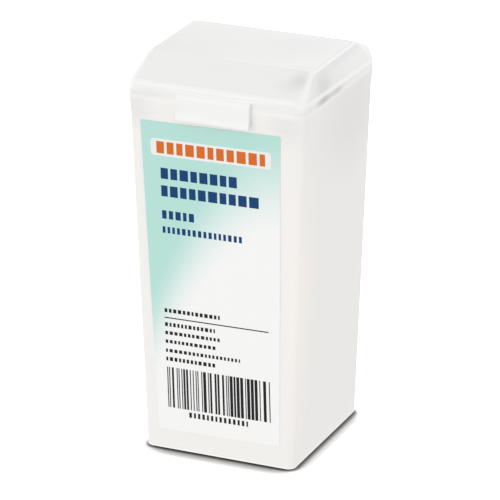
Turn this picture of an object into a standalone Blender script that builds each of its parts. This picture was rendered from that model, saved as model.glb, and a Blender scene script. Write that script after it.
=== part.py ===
"""Flip-top dental floss dispenser: a drafted box and a hinged lid, an inner deck with a steel
cutter, and a spool of floss that turns between two pins.

Metres, +Z up. The origin is the middle of the base, and the labelled front faces -Y.
"""

import math

import bmesh
import bpy
from mathutils import Vector

# Driving dimensions of the whole dispenser
PARTING_HEIGHT = 0.0723
LID_HEIGHT = 0.0066
RIM_WIDTH = 0.0365
RIM_DEPTH = 0.0351
BASE_WIDTH = 0.0312
BASE_DEPTH = 0.0323
CORNER_RADIUS = 0.0022
BASE_CORNER_RADIUS = 0.0015
INSIDE_RADIUS = 0.0008

# Clearances, overruns and facets that every piece shares
GAP = 0.0003
SNUG_GAP = 0.0001
OVERRUN = 0.001
CORNER_STEPS = 5
TURN_SIDES = 40
SMALL_SIDES = 20
EDGE_STEPS = 3
BEND_STEPS = 4
CURVE_STEPS = 6
FLANK_STEPS = 8
SHARP_ANGLE = math.radians(35)

# Case
CASE_WALL = 0.0013
RIM_WALL = 0.0008
CASE_FLOOR = 0.0014
BASE_CHAMFER = 0.0005
BAND_HEIGHT = 0.0024
BAND_PROUD = 0.0001
POST_HEIGHT = 0.0070

# Lid
LID_WALL = 0.0010
LID_ROOF = 0.0011
LIP_HEIGHT = 0.0025
SIDE_LIP_HEIGHT = 0.0019
SIDE_LIP_FALL = 0.0008
BACK_LIP_HEIGHT = 0.0035
SIDE_BEVEL = 0.0013
FRONT_SLOPE = 0.0072
BACK_SLOPE = 0.0069
ROOF_RADIUS = 0.0010
LIP_EDGE = 0.0005
ROOF_EDGE = 0.0004
TAB_WIDTH = 0.0150
TAB_DROP = 0.0035
TAB_SHEET = 0.0007
TAB_FLARE = 0.0018
TAB_REACH = 0.0015
TAB_TOE = 0.0006
TAB_TOP_SHARE = 0.60

# Living hinge
HINGE_WIDTH = 0.0240
HINGE_HEIGHT = 0.0014
HINGE_THICKNESS = 0.00035
HINGE_FOLD = 0.00015
HINGE_GROOVE = 0.0008

# Deck
DECK_DROP = 0.0008
DECK_PLATE = 0.0012
DECK_WALL = 0.0009
DECK_SKIRT = 0.0042
COLLAR_RISE = 0.0008
OUTLET_X = -0.0060
OUTLET_Y = 0.0010
OUTLET_BORE = 0.0008
OUTLET_TOP_RADIUS = 0.0019
OUTLET_FOOT_RADIUS = 0.0034
OUTLET_HEIGHT = 0.0026
PIN_RADIUS = 0.0022
PIN_OVERLAP = 0.0050

# Cutter, and the boss with staking pegs that holds it
CUTTER_LENGTH = 0.0095
CUTTER_REACH = 0.0064
CUTTER_SETBACK = 0.0019
CUTTER_MIDDLE_Y = -0.0035
CUTTER_SHEET = 0.0003
CUTTER_BLADE_HEIGHT = 0.0040
CUTTER_BEND = 0.0005
NOTCH_WIDTH = 0.0010
NOTCH_MOUTH = 0.0022
NOTCH_DEPTH = 0.0011
BOSS_HEIGHT = 0.0004
BOSS_MARGIN = 0.0005
PEG_RADIUS = 0.0006
PEG_HEAD_RADIUS = 0.0012
PEG_HEAD_HEIGHT = 0.0005
PEG_SPACING = 0.0052
BREACH_MARGIN = 0.0015

# Spool and floss
SPOOL_HEADROOM = 0.0075
SPOOL_SIDE_ROOM = 0.00055
SPOOL_FLANGE = 0.0012
SPOOL_CORE_WALL = 0.0015
FLOSS_DIAMETER = 0.0005
FLANGE_MARGIN = 0.0015
WINDING_CROWN = 0.0006
TURNS = 20
TURN_POINTS = 20
TURN_END_ROOM = 0.0018
STRAND_POINTS = 60
STRAND_APPROACH_SHARE = 0.2

# Front label
LABEL_TOP_SIDE_MARGIN = 0.0037
LABEL_FOOT_SIDE_MARGIN = 0.00305
LABEL_TOP_MARGIN = 0.0019
LABEL_FOOT_Z = 0.0044
LABEL_THICKNESS = 0.0001
LABEL_GAP = 0.00005
LABEL_RADIUS = 0.0006
LABEL_TILT = math.radians(1.0)
LABEL_SHIFT = -0.0004

# Heights, radii and places that follow from the sizes above
TOTAL_HEIGHT = PARTING_HEIGHT + LID_HEIGHT
CASE_TOP = PARTING_HEIGHT - GAP / 2
LID_BOTTOM = PARTING_HEIGHT + GAP / 2
SHOULDER = LID_BOTTOM + LIP_HEIGHT
SIDE_SHOULDER = LID_BOTTOM + SIDE_LIP_HEIGHT
BACK_SHOULDER = LID_BOTTOM + BACK_LIP_HEIGHT
DECK_TOP = CASE_TOP - DECK_DROP
SEAT_Z = DECK_TOP - DECK_SKIRT
DECK_UNDERSIDE = DECK_TOP - DECK_PLATE
SPOOL_BORE = PIN_RADIUS + GAP
SPOOL_FOOT = CASE_FLOOR + GAP
SPOOL_TOP = DECK_UNDERSIDE - SPOOL_HEADROOM
SPOOL_CORE = SPOOL_BORE + SPOOL_CORE_WALL
NARROWEST = min(BASE_WIDTH, BASE_DEPTH, RIM_WIDTH, RIM_DEPTH)
SPOOL_FLANGE_RADIUS = NARROWEST / 2 - CASE_WALL - SPOOL_SIDE_ROOM
WINDING_RADIUS = SPOOL_FLANGE_RADIUS - FLANGE_MARGIN
TURN_RADIUS = WINDING_RADIUS + GAP + FLOSS_DIAMETER / 2
TURN_END_ANGLE = math.radians(135)
LABEL_TOP_Z = CASE_TOP - BAND_HEIGHT - LABEL_TOP_MARGIN
LABEL_HEIGHT = LABEL_TOP_Z - LABEL_FOOT_Z
BOSS_TOP = DECK_TOP + BOSS_HEIGHT
CUTTER_FOOT = BOSS_TOP + SNUG_GAP
COLLAR_OUTWARDS = BAND_PROUD - LID_WALL - GAP
CUTTER_BLADE_X = RIM_WIDTH / 2 - CUTTER_SETBACK
PEG_X = CUTTER_BLADE_X - CUTTER_REACH / 2


def clear_scene():
    for old in list(bpy.data.objects):
        bpy.data.objects.remove(old, do_unlink=True)


def case_half(z):
    """Half the outside width and half the outside depth of the drafted case at a height."""
    share = z / PARTING_HEIGHT
    width = BASE_WIDTH + (RIM_WIDTH - BASE_WIDTH) * share
    depth = BASE_DEPTH + (RIM_DEPTH - BASE_DEPTH) * share
    return width / 2, depth / 2


def corner_angles(quarter):
    """The directions that the points round one corner face, counted from +X."""
    return [(quarter + step / CORNER_STEPS) * math.pi / 2 for step in range(CORNER_STEPS + 1)]


def rounded_ring(z, half_x, front_y, back_y, radius):
    """Points of a rounded rectangle at one height, anticlockwise seen from above."""
    right, left = half_x - radius, radius - half_x
    front, back = front_y + radius, back_y - radius
    points = []
    for quarter, (x, y) in enumerate(((right, back), (left, back), (left, front), (right, front))):
        for angle in corner_angles(quarter):
            points.append((x + radius * math.cos(angle), y + radius * math.sin(angle), z))
    return points


def case_ring(z, outwards, height=None):
    """The case's outline at height z, grown outwards or, if negative, inwards."""
    half_x, half_y = case_half(z)
    corner = BASE_CORNER_RADIUS + (CORNER_RADIUS - BASE_CORNER_RADIUS) * z / PARTING_HEIGHT
    radius = max(corner + outwards, INSIDE_RADIUS)
    level = z if height is None else height
    return rounded_ring(level, half_x + outwards, -half_y - outwards, half_y + outwards, radius)


def circle_ring(x, y, z, radius, sides=SMALL_SIDES):
    angles = [2 * math.pi * i / sides for i in range(sides)]
    return [(x + radius * math.cos(a), y + radius * math.sin(a), z) for a in angles]


def add_object(name, mesh, origin=(0, 0, 0), parent=None):
    """An object with its origin on a point, from a bmesh in world coordinates."""
    bmesh.ops.recalc_face_normals(mesh, faces=mesh.faces)
    bmesh.ops.translate(mesh, verts=mesh.verts, vec=-Vector(origin))
    data = bpy.data.meshes.new(name)
    mesh.to_mesh(data)
    mesh.free()
    data.shade_smooth()
    data.set_sharp_from_angle(angle=SHARP_ANGLE)
    made = bpy.data.objects.new(name, data)
    bpy.context.scene.collection.objects.link(made)
    made.location = origin
    if parent:
        made.parent = parent
        made.location = Vector(origin) - parent.location
    return made


def loft(name, rings, **place):
    """A closed solid through rings of equally many points, from the lowest up."""
    mesh = bmesh.new()
    loops = [[mesh.verts.new(point) for point in ring] for ring in rings]
    for low, high in zip(loops, loops[1:]):
        for i, first in enumerate(low):
            j = (i + 1) % len(low)
            mesh.faces.new((first, low[j], high[j], high[i]))
    mesh.faces.new(reversed(loops[0]))
    mesh.faces.new(loops[-1])
    return add_object(name, mesh, **place)


def turned_ring(name, profile, sides=TURN_SIDES, **place):
    """A body of revolution about Z from a closed loop of (radius, height) points."""
    mesh = bmesh.new()
    angles = [2 * math.pi * i / sides for i in range(sides)]
    spokes = [[mesh.verts.new((r * math.cos(a), r * math.sin(a), z)) for r, z in profile] for a in angles]
    for i, spoke in enumerate(spokes):
        following = spokes[(i + 1) % sides]
        for j, corner in enumerate(spoke):
            k = (j + 1) % len(profile)
            mesh.faces.new((corner, following[j], following[k], spoke[k]))
    return add_object(name, mesh, **place)


def extruded(name, outline, axis, start, end, **place):
    """A prism: an outline on the two other axes, in their order, between two places on one axis."""
    def point(place_on_axis, pair):
        coordinates = list(pair)
        coordinates.insert("xyz".index(axis), place_on_axis)
        return coordinates

    rings = [[point(level, pair) for pair in outline] for level in (start, end)]
    return loft(name, rings, **place)


def shape_by(target, operation, tool):
    """A Boolean that stays live on its target, with the tool kept as a wire guide."""
    tool.hide_render = True
    tool.display_type = "WIRE"
    modifier = target.modifiers.new(tool.name, "BOOLEAN")
    modifier.operation = operation
    modifier.solver = "EXACT"
    modifier.object = tool


def finish(made, colour, roughness, metallic=0.0):
    """Each piece's own Principled material."""
    material = bpy.data.materials.new(made.name)
    material.use_nodes = True
    shader = material.node_tree.nodes["Principled BSDF"]
    shader.inputs["Base Color"].default_value = (*colour, 1)
    shader.inputs["Roughness"].default_value = roughness
    shader.inputs["Metallic"].default_value = metallic
    made.data.materials.append(material)
    return made


def hinge_back():
    """The plane of the lid's and the band's back faces, which holds the hinge axis."""
    return RIM_DEPTH / 2 + BAND_PROUD


def hinge_recess(name, low, high, parent):
    """The shallow pocket in a back face that takes one half of the hinge."""
    depth = HINGE_THICKNESS + HINGE_FOLD
    half = HINGE_WIDTH / 2 + HINGE_FOLD
    outline = [(-half, low), (half, low), (half, high), (-half, high)]
    front, back = hinge_back() - depth, hinge_back() + OVERRUN
    return extruded(name, outline, "y", front, back, parent=parent)


def make_case():
    band_foot = CASE_TOP - BAND_HEIGHT
    case = loft("case", [
        case_ring(0, -BASE_CHAMFER),
        case_ring(BASE_CHAMFER, 0),
        case_ring(band_foot - BAND_PROUD, 0),
        case_ring(band_foot, BAND_PROUD),
        case_ring(PARTING_HEIGHT, BAND_PROUD, CASE_TOP),
    ])
    cavity = loft("case_cavity", [
        case_ring(CASE_FLOOR, -CASE_WALL),
        case_ring(SEAT_Z, -CASE_WALL),
        case_ring(SEAT_Z, -RIM_WALL),
        case_ring(CASE_TOP + OVERRUN, -RIM_WALL),
    ], parent=case)
    post_top = CASE_FLOOR + POST_HEIGHT
    post = loft("case_spool_post", [
        circle_ring(0, 0, CASE_FLOOR / 2, PIN_RADIUS),
        circle_ring(0, 0, post_top - PIN_RADIUS / 2, PIN_RADIUS),
        circle_ring(0, 0, post_top, PIN_RADIUS / 2),
    ], parent=case)
    recess_foot = PARTING_HEIGHT - HINGE_HEIGHT / 2 - HINGE_FOLD
    shape_by(case, "DIFFERENCE", cavity)
    shape_by(case, "DIFFERENCE", hinge_recess("case_hinge_recess", recess_foot, CASE_TOP + OVERRUN, case))
    shape_by(case, "UNION", post)
    return finish(case, (0.86, 0.85, 0.84), 0.38)


def lid_tab(parent):
    """The thumb tab: out over the lip's face, straight down past the band, and flared at its foot."""
    lip_face = -hinge_back()
    proud = GAP + TAB_SHEET
    top, foot = LID_BOTTOM + LIP_HEIGHT * TAB_TOP_SHARE, LID_BOTTOM - TAB_DROP
    crease, underside = foot + TAB_FLARE, LID_BOTTOM + GAP
    inside, behind = lip_face + LID_WALL / 2, lip_face - GAP
    angles = [step / BEND_STEPS * math.pi / 2 for step in range(BEND_STEPS + 1)]
    brow = [(lip_face - proud * math.sin(a), top - proud * (1 - math.cos(a))) for a in angles]
    spread = TAB_REACH - proud
    leaving = lip_face - proud
    flare = [(leaving - spread * (1 - math.cos(a)), crease - TAB_FLARE * math.sin(a)) for a in angles]
    toe = [(lip_face - TAB_REACH + TAB_TOE, foot), (behind, crease)]
    outline = [(inside, underside), (inside, top), *brow, *flare, *toe, (behind, underside)]
    return extruded("lid_tab", outline, "x", -TAB_WIDTH / 2, TAB_WIDTH / 2, parent=parent)


def lip_tops(ring):
    """The heights of the lip's upper edge round a ring: falling along the sides, highest at the back."""
    half_y = RIM_DEPTH / 2 + BAND_PROUD
    angles = [angle for quarter in range(4) for angle in corner_angles(quarter)]
    heights = []
    for (_, y, _), angle in zip(ring, angles):
        side = SIDE_SHOULDER - SIDE_LIP_FALL * (y + half_y) / (2 * half_y)
        end = BACK_SHOULDER if math.sin(angle) > 0 else SHOULDER
        heights.append(side + (end - side) * math.sin(angle) ** 2)
    return heights


def lid_ring(share, drop=0, inwards=0):
    """The lid's outline a share of the way up its slopes, lowered and drawn in a little more."""
    half_x, half_y = RIM_WIDTH / 2 + BAND_PROUD, RIM_DEPTH / 2 + BAND_PROUD
    lip_radius = CORNER_RADIUS + BAND_PROUD
    flat = rounded_ring(
        0, half_x - SIDE_BEVEL * share - inwards, FRONT_SLOPE * share + inwards - half_y,
        half_y - BACK_SLOPE * share - inwards, lip_radius + (ROOF_RADIUS - lip_radius) * share,
    )
    tops = lip_tops(flat)
    return [(x, y, top + (TOTAL_HEIGHT - top) * share - drop) for (x, y, _), top in zip(flat, tops)]


def lid_rings():
    """The lid from its foot up: the lip, round its upper edge, up the slopes, round the roof's edge."""
    rise = TOTAL_HEIGHT - SHOULDER
    rings = [[(x, y, LID_BOTTOM) for x, y, _ in lid_ring(0)]]
    for step in range(EDGE_STEPS + 1):
        t = step / EDGE_STEPS
        rings.append(lid_ring(LIP_EDGE / rise * t**2, drop=LIP_EDGE * (1 - t) ** 2))
    for step in range(EDGE_STEPS + 1):
        t = step / EDGE_STEPS
        rings.append(lid_ring(1 - ROOF_EDGE / rise * (1 - t) ** 2, inwards=ROOF_EDGE * t**2))
    return rings


def make_lid():
    half_x, half_y = RIM_WIDTH / 2 + BAND_PROUD, RIM_DEPTH / 2 + BAND_PROUD
    lid = loft("lid", lid_rings(), origin=(0, hinge_back(), PARTING_HEIGHT))

    def inner_edge(slope, rise):
        """How far in from the lip's face a slope's inner side meets the ceiling."""
        slant = math.hypot(slope, rise) / rise
        return slope * (rise - LID_ROOF) / rise + LID_WALL * slant

    inner_radius = CORNER_RADIUS + BAND_PROUD - LID_WALL
    lip_inside = rounded_ring(0, half_x - LID_WALL, LID_WALL - half_y, half_y - LID_WALL, inner_radius)
    ceiling_inside = rounded_ring(
        TOTAL_HEIGHT - LID_ROOF,
        half_x - inner_edge(SIDE_BEVEL, TOTAL_HEIGHT - SIDE_SHOULDER),
        inner_edge(FRONT_SLOPE, TOTAL_HEIGHT - SHOULDER) - half_y,
        half_y - inner_edge(BACK_SLOPE, TOTAL_HEIGHT - BACK_SHOULDER),
        ROOF_RADIUS,
    )
    hollow = loft("lid_hollow", [
        [(x, y, LID_BOTTOM - OVERRUN) for x, y, _ in lip_inside],
        [(x, y, top - LID_WALL / 2) for (x, y, _), top in zip(lip_inside, lip_tops(lip_inside))],
        ceiling_inside,
    ], parent=lid)
    recess_top = PARTING_HEIGHT + HINGE_HEIGHT / 2 + HINGE_FOLD
    shape_by(lid, "DIFFERENCE", hollow)
    shape_by(lid, "DIFFERENCE", hinge_recess("lid_hinge_recess", LID_BOTTOM - OVERRUN, recess_top, lid))
    shape_by(lid, "UNION", lid_tab(lid))
    return finish(lid, (0.88, 0.87, 0.86), 0.35)


def make_hinge():
    """A thin plate across the parting line, grooved on its inner side where it folds."""
    back = hinge_back()
    front = back - HINGE_THICKNESS
    low, high = PARTING_HEIGHT - HINGE_HEIGHT / 2, PARTING_HEIGHT + HINGE_HEIGHT / 2
    groove = []
    for step in range(CURVE_STEPS + 1):
        angle = step / CURVE_STEPS * math.pi
        depth = (HINGE_THICKNESS - HINGE_FOLD) * math.sin(angle)
        groove.append((front + depth, PARTING_HEIGHT - HINGE_GROOVE / 2 * math.cos(angle)))
    outline = [(back, high), (back, low), (front, low), *groove, (front, high)]
    hinge = extruded("living_hinge", outline, "x", -HINGE_WIDTH / 2, HINGE_WIDTH / 2)
    return finish(hinge, (0.86, 0.85, 0.84), 0.38)


def cutter_pegs():
    """Where the two staking pegs stand."""
    return [CUTTER_MIDDLE_Y - PEG_SPACING / 2, CUTTER_MIDDLE_Y + PEG_SPACING / 2]


def make_deck():
    """The insert: a plate with a skirt below and a collar above, and what stands on it."""
    outside = -RIM_WALL - SNUG_GAP
    inside = outside - DECK_WALL
    collar_top = CASE_TOP + COLLAR_RISE
    deck = loft("dispensing_deck", [
        case_ring(SEAT_Z + SNUG_GAP, outside),
        case_ring(DECK_TOP, outside),
        case_ring(PARTING_HEIGHT, COLLAR_OUTWARDS, CASE_TOP),
        case_ring(PARTING_HEIGHT, COLLAR_OUTWARDS, collar_top),
    ])
    upper_pocket = loft("deck_upper_pocket", [
        case_ring(PARTING_HEIGHT, COLLAR_OUTWARDS - DECK_WALL, DECK_TOP),
        case_ring(PARTING_HEIGHT, COLLAR_OUTWARDS - DECK_WALL, collar_top + OVERRUN),
    ], parent=deck)
    lower_pocket = loft("deck_lower_pocket", [
        case_ring(SEAT_Z, inside, SEAT_Z - OVERRUN),
        case_ring(DECK_UNDERSIDE, inside),
    ], parent=deck)
    outlet = loft("deck_outlet", [
        circle_ring(OUTLET_X, OUTLET_Y, DECK_TOP - DECK_PLATE / 2, OUTLET_FOOT_RADIUS),
        circle_ring(OUTLET_X, OUTLET_Y, DECK_TOP, OUTLET_FOOT_RADIUS),
        circle_ring(OUTLET_X, OUTLET_Y, DECK_TOP + OUTLET_HEIGHT, OUTLET_TOP_RADIUS),
    ], parent=deck)
    bore = loft("deck_outlet_bore", [
        circle_ring(OUTLET_X, OUTLET_Y, DECK_UNDERSIDE - OVERRUN, OUTLET_TOP_RADIUS),
        circle_ring(OUTLET_X, OUTLET_Y, DECK_TOP, OUTLET_BORE),
        circle_ring(OUTLET_X, OUTLET_Y, DECK_TOP + OUTLET_HEIGHT - OUTLET_BORE / 2, OUTLET_BORE),
        circle_ring(OUTLET_X, OUTLET_Y, DECK_TOP + OUTLET_HEIGHT + OUTLET_BORE / 2, OUTLET_BORE * 2),
    ], parent=deck)
    pin_foot = SPOOL_TOP - PIN_OVERLAP
    pin = loft("deck_spool_pin", [
        circle_ring(0, 0, pin_foot, PIN_RADIUS / 2),
        circle_ring(0, 0, pin_foot + PIN_RADIUS / 2, PIN_RADIUS),
        circle_ring(0, 0, DECK_UNDERSIDE + DECK_PLATE / 2, PIN_RADIUS),
    ], parent=deck)
    half_length = CUTTER_LENGTH / 2
    boss_left = CUTTER_BLADE_X - CUTTER_REACH - BOSS_MARGIN
    boss_right = CUTTER_BLADE_X - CUTTER_SHEET - CUTTER_BEND
    boss_outline = [
        (boss_left, CUTTER_MIDDLE_Y - half_length - BOSS_MARGIN),
        (boss_right, CUTTER_MIDDLE_Y - half_length - BOSS_MARGIN),
        (boss_right, CUTTER_MIDDLE_Y + half_length + BOSS_MARGIN),
        (boss_left, CUTTER_MIDDLE_Y + half_length + BOSS_MARGIN),
    ]
    boss_foot = DECK_TOP - DECK_PLATE / 2
    boss = extruded("deck_cutter_boss", boss_outline, "z", boss_foot, BOSS_TOP, parent=deck)
    half_breach = half_length + BREACH_MARGIN
    breach_outline = [
        (CUTTER_MIDDLE_Y - half_breach, DECK_TOP),
        (CUTTER_MIDDLE_Y + half_breach, DECK_TOP),
        (CUTTER_MIDDLE_Y + half_breach, collar_top + OVERRUN),
        (CUTTER_MIDDLE_Y - half_breach, collar_top + OVERRUN),
    ]
    breach = extruded("deck_collar_breach", breach_outline, "x", boss_right, RIM_WIDTH / 2, parent=deck)
    shape_by(deck, "DIFFERENCE", upper_pocket)
    shape_by(deck, "DIFFERENCE", lower_pocket)
    shape_by(deck, "DIFFERENCE", breach)
    shape_by(deck, "UNION", outlet)
    shape_by(deck, "UNION", boss)
    shape_by(deck, "UNION", pin)
    shape_by(deck, "DIFFERENCE", bore)
    head_foot = CUTTER_FOOT + CUTTER_SHEET + SNUG_GAP
    for number, peg_y in enumerate(cutter_pegs()):
        peg = loft(f"deck_peg_{number + 1}", [
            circle_ring(PEG_X, peg_y, BOSS_TOP - BOSS_HEIGHT / 2, PEG_RADIUS),
            circle_ring(PEG_X, peg_y, head_foot, PEG_RADIUS),
            circle_ring(PEG_X, peg_y, head_foot, PEG_HEAD_RADIUS),
            circle_ring(PEG_X, peg_y, head_foot + PEG_HEAD_HEIGHT / 2, PEG_HEAD_RADIUS),
            circle_ring(PEG_X, peg_y, head_foot + PEG_HEAD_HEIGHT, PEG_HEAD_RADIUS / 2),
        ], parent=deck)
        shape_by(deck, "UNION", peg)
    return finish(deck, (0.88, 0.88, 0.87), 0.4)


def make_cutter():
    """A strip of steel bent up at its right end, with a notch that holds and cuts the floss."""
    left, right = CUTTER_BLADE_X - CUTTER_REACH, CUTTER_BLADE_X
    low, top = CUTTER_FOOT, CUTTER_FOOT + CUTTER_BLADE_HEIGHT
    inner, outer = CUTTER_BEND, CUTTER_BEND + CUTTER_SHEET
    bend_x, bend_z = right - outer, low + outer
    turns = [step / BEND_STEPS * math.pi / 2 for step in range(BEND_STEPS + 1)]
    outer_bend = [(bend_x + outer * math.sin(a), bend_z - outer * math.cos(a)) for a in turns]
    inner_bend = [(bend_x + inner * math.sin(a), bend_z - inner * math.cos(a)) for a in reversed(turns)]
    outline = [(left, low), *outer_bend, (right, top), (right - CUTTER_SHEET, top), *inner_bend]
    outline.append((left, low + CUTTER_SHEET))
    front, back = CUTTER_MIDDLE_Y - CUTTER_LENGTH / 2, CUTTER_MIDDLE_Y + CUTTER_LENGTH / 2
    cutter = extruded("cutter", outline, "y", front, back)
    notch_outline = [
        (CUTTER_MIDDLE_Y - NOTCH_WIDTH / 2, top - NOTCH_DEPTH),
        (CUTTER_MIDDLE_Y + NOTCH_WIDTH / 2, top - NOTCH_DEPTH),
        (CUTTER_MIDDLE_Y + NOTCH_MOUTH / 2, top),
        (CUTTER_MIDDLE_Y + NOTCH_MOUTH / 2, top + OVERRUN),
        (CUTTER_MIDDLE_Y - NOTCH_MOUTH / 2, top + OVERRUN),
        (CUTTER_MIDDLE_Y - NOTCH_MOUTH / 2, top),
    ]
    notch = extruded("cutter_notch", notch_outline, "x", bend_x, right + OVERRUN, parent=cutter)
    shape_by(cutter, "DIFFERENCE", notch)
    for number, peg_y in enumerate(cutter_pegs()):
        hole = loft(f"cutter_hole_{number + 1}", [
            circle_ring(PEG_X, peg_y, low - OVERRUN, PEG_RADIUS + GAP),
            circle_ring(PEG_X, peg_y, low + OVERRUN, PEG_RADIUS + GAP),
        ], parent=cutter)
        shape_by(cutter, "DIFFERENCE", hole)
    return finish(cutter, (0.55, 0.55, 0.56), 0.28, 1.0)


def make_spool():
    """A bobbin with its bore, core and two flanges."""
    low, high = SPOOL_FOOT, SPOOL_TOP
    rim = SPOOL_FLANGE_RADIUS
    spool = turned_ring("spool", [
        (SPOOL_BORE, low), (rim, low), (rim, low + SPOOL_FLANGE),
        (SPOOL_CORE, low + SPOOL_FLANGE), (SPOOL_CORE, high - SPOOL_FLANGE),
        (rim, high - SPOOL_FLANGE), (rim, high), (SPOOL_BORE, high),
    ])
    return finish(spool, (0.90, 0.90, 0.90), 0.45)


def winding_ends():
    return SPOOL_FOOT + SPOOL_FLANGE + GAP, SPOOL_TOP - SPOOL_FLANGE - GAP


def make_winding(spool):
    """The wound body of floss, a little fuller at mid height than at its ends."""
    low, high = winding_ends()
    inner, shoulder = SPOOL_CORE + GAP, WINDING_RADIUS - WINDING_CROWN
    flank = []
    for step in range(FLANK_STEPS + 1):
        share = step / FLANK_STEPS
        flank.append((shoulder + WINDING_CROWN * math.sin(math.pi * share), low + (high - low) * share))
    winding = turned_ring("floss_winding", [(inner, low), *flank, (inner, high)], parent=spool)
    return finish(winding, (0.93, 0.93, 0.91), 0.7)


def least_gap(points, apart, diameter):
    """The least clear distance of a wound tube to its own other turns."""
    nearest = min(
        (points[j] - points[i]).length for i in range(len(points)) for j in range(i + apart, len(points))
    )
    return nearest - diameter


def add_tube(name, points, resolution, parent=None):
    """Floss as a round tube along a chain of points, with its ends filled."""
    curve = bpy.data.curves.new(name, "CURVE")
    curve.dimensions = "3D"
    curve.bevel_depth = FLOSS_DIAMETER / 2
    curve.bevel_resolution = resolution
    curve.use_fill_caps = True
    spline = curve.splines.new("POLY")
    spline.points.add(len(points) - 1)
    for spot, point in zip(spline.points, points):
        spot.co = (*point, 1)
    tube = bpy.data.objects.new(name, curve)
    bpy.context.scene.collection.objects.link(tube)
    tube.parent = parent
    return finish(tube, (0.94, 0.94, 0.92), 0.6)


def make_outer_turns(spool):
    """The last traverse of floss, one unbroken tube over the wound body."""
    low, high = winding_ends()
    start, end = low + TURN_END_ROOM, high - TURN_END_ROOM
    count = TURNS * TURN_POINTS
    points = []
    for step in range(count + 1):
        angle = 2 * math.pi * step / TURN_POINTS + TURN_END_ANGLE
        height = start + (end - start) * step / count
        points.append(Vector((TURN_RADIUS * math.cos(angle), TURN_RADIUS * math.sin(angle), height)))
    gap = least_gap(points, TURN_POINTS // 2, FLOSS_DIAMETER)
    print(f"floss_outer_turns: least gap to itself {gap:.5f} m")
    return add_tube("floss_outer_turns", points, 1, spool)


def smooth_points(route, count):
    """Evenly numbered points on a Catmull-Rom curve through the points of a route."""
    padded = [route[0] * 2 - route[1], *route, route[-1] * 2 - route[-2]]
    spans = len(route) - 1
    points = []
    for number in range(count):
        place = number / (count - 1) * spans
        span = min(int(place), spans - 1)
        t = place - span
        a, b, c, d = padded[span : span + 4]
        bend = (a * 2 - b * 5 + c * 4 - d) * t**2 + (b * 3 - a - c * 3 + d) * t**3
        points.append((b * 2 + (c - a) * t + bend) / 2)
    return points


def make_strand():
    """The held stretch of floss: off the spool, past its flange, up the outlet, over to the notch."""
    last_turn = winding_ends()[1] - TURN_END_ROOM
    heading = Vector((math.cos(TURN_END_ANGLE), math.sin(TURN_END_ANGLE), 0))
    off_winding = heading * TURN_RADIUS
    past_flange = heading * (SPOOL_FLANGE_RADIUS + GAP + FLOSS_DIAMETER)
    outlet_top = DECK_TOP + OUTLET_HEIGHT
    outlet_foot = Vector((OUTLET_X, OUTLET_Y, DECK_UNDERSIDE))
    notch_z = CUTTER_FOOT + CUTTER_BLADE_HEIGHT - NOTCH_DEPTH + GAP + FLOSS_DIAMETER / 2
    route = [
        off_winding + Vector((0, 0, last_turn + FLOSS_DIAMETER + GAP)),
        past_flange + Vector((0, 0, SPOOL_TOP - SPOOL_FLANGE)),
        past_flange + Vector((0, 0, SPOOL_TOP + FLOSS_DIAMETER)),
        outlet_foot.lerp(past_flange + Vector((0, 0, SPOOL_TOP)), STRAND_APPROACH_SHARE),
        outlet_foot,
        Vector((OUTLET_X, OUTLET_Y, outlet_top)),
        Vector((OUTLET_X + OUTLET_TOP_RADIUS, OUTLET_Y, outlet_top + OUTLET_BORE)),
        Vector((CUTTER_BLADE_X / 2, (OUTLET_Y + CUTTER_MIDDLE_Y) / 2, notch_z)),
        Vector((CUTTER_BLADE_X + GAP, CUTTER_MIDDLE_Y, notch_z)),
    ]
    return add_tube("floss_strand", smooth_points(route, STRAND_POINTS), 2)


def label_point(across, up, outwards):
    """A point of the label, set askew by its tilt, and laid on the case's drafted front face."""
    x = LABEL_SHIFT + across * math.cos(LABEL_TILT) - up * math.sin(LABEL_TILT)
    z = LABEL_FOOT_Z + LABEL_HEIGHT / 2 + up * math.cos(LABEL_TILT) + across * math.sin(LABEL_TILT)
    return (x, -case_half(z)[1] - outwards, z)


def make_label():
    half_top = case_half(LABEL_TOP_Z)[0] - LABEL_TOP_SIDE_MARGIN
    half_foot = case_half(LABEL_FOOT_Z)[0] - LABEL_FOOT_SIDE_MARGIN
    half_height = LABEL_HEIGHT / 2
    corners = [(half_foot, -1, 3), (half_top, 1, 0), (-half_top, 1, 1), (-half_foot, -1, 2)]
    outline = []
    for half_width, end, quarter in corners:
        side = math.copysign(1, half_width)
        for angle in corner_angles(quarter):
            across = half_width - side * LABEL_RADIUS + LABEL_RADIUS * math.cos(angle)
            up = end * (half_height - LABEL_RADIUS) + LABEL_RADIUS * math.sin(angle)
            outline.append((across, up))
    depths = (LABEL_GAP, LABEL_GAP + LABEL_THICKNESS)
    rings = [[label_point(*pair, depth) for pair in outline] for depth in depths]
    return finish(loft("front_label", rings), (0.72, 0.89, 0.85), 0.4)


def build():
    clear_scene()
    make_case()
    make_lid()
    make_hinge()
    make_deck()
    make_cutter()
    spool = make_spool()
    make_winding(spool)
    make_outer_turns(spool)
    make_strand()
    make_label()


build()
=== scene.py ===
# %% [markdown]
# A flip-top dental floss dispenser. The real one is a tall, slightly tapered box of milky
# polypropylene with a hinged lid. Under the lid sits a white insert with an outlet for the floss
# and a small steel cutter, and inside the box a spool turns between two pins.
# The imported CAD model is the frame: it says where every piece is and how it moves, and this script
# gives each piece its fine surface and its finish. Everything is in metres, and +Z is up.

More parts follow.
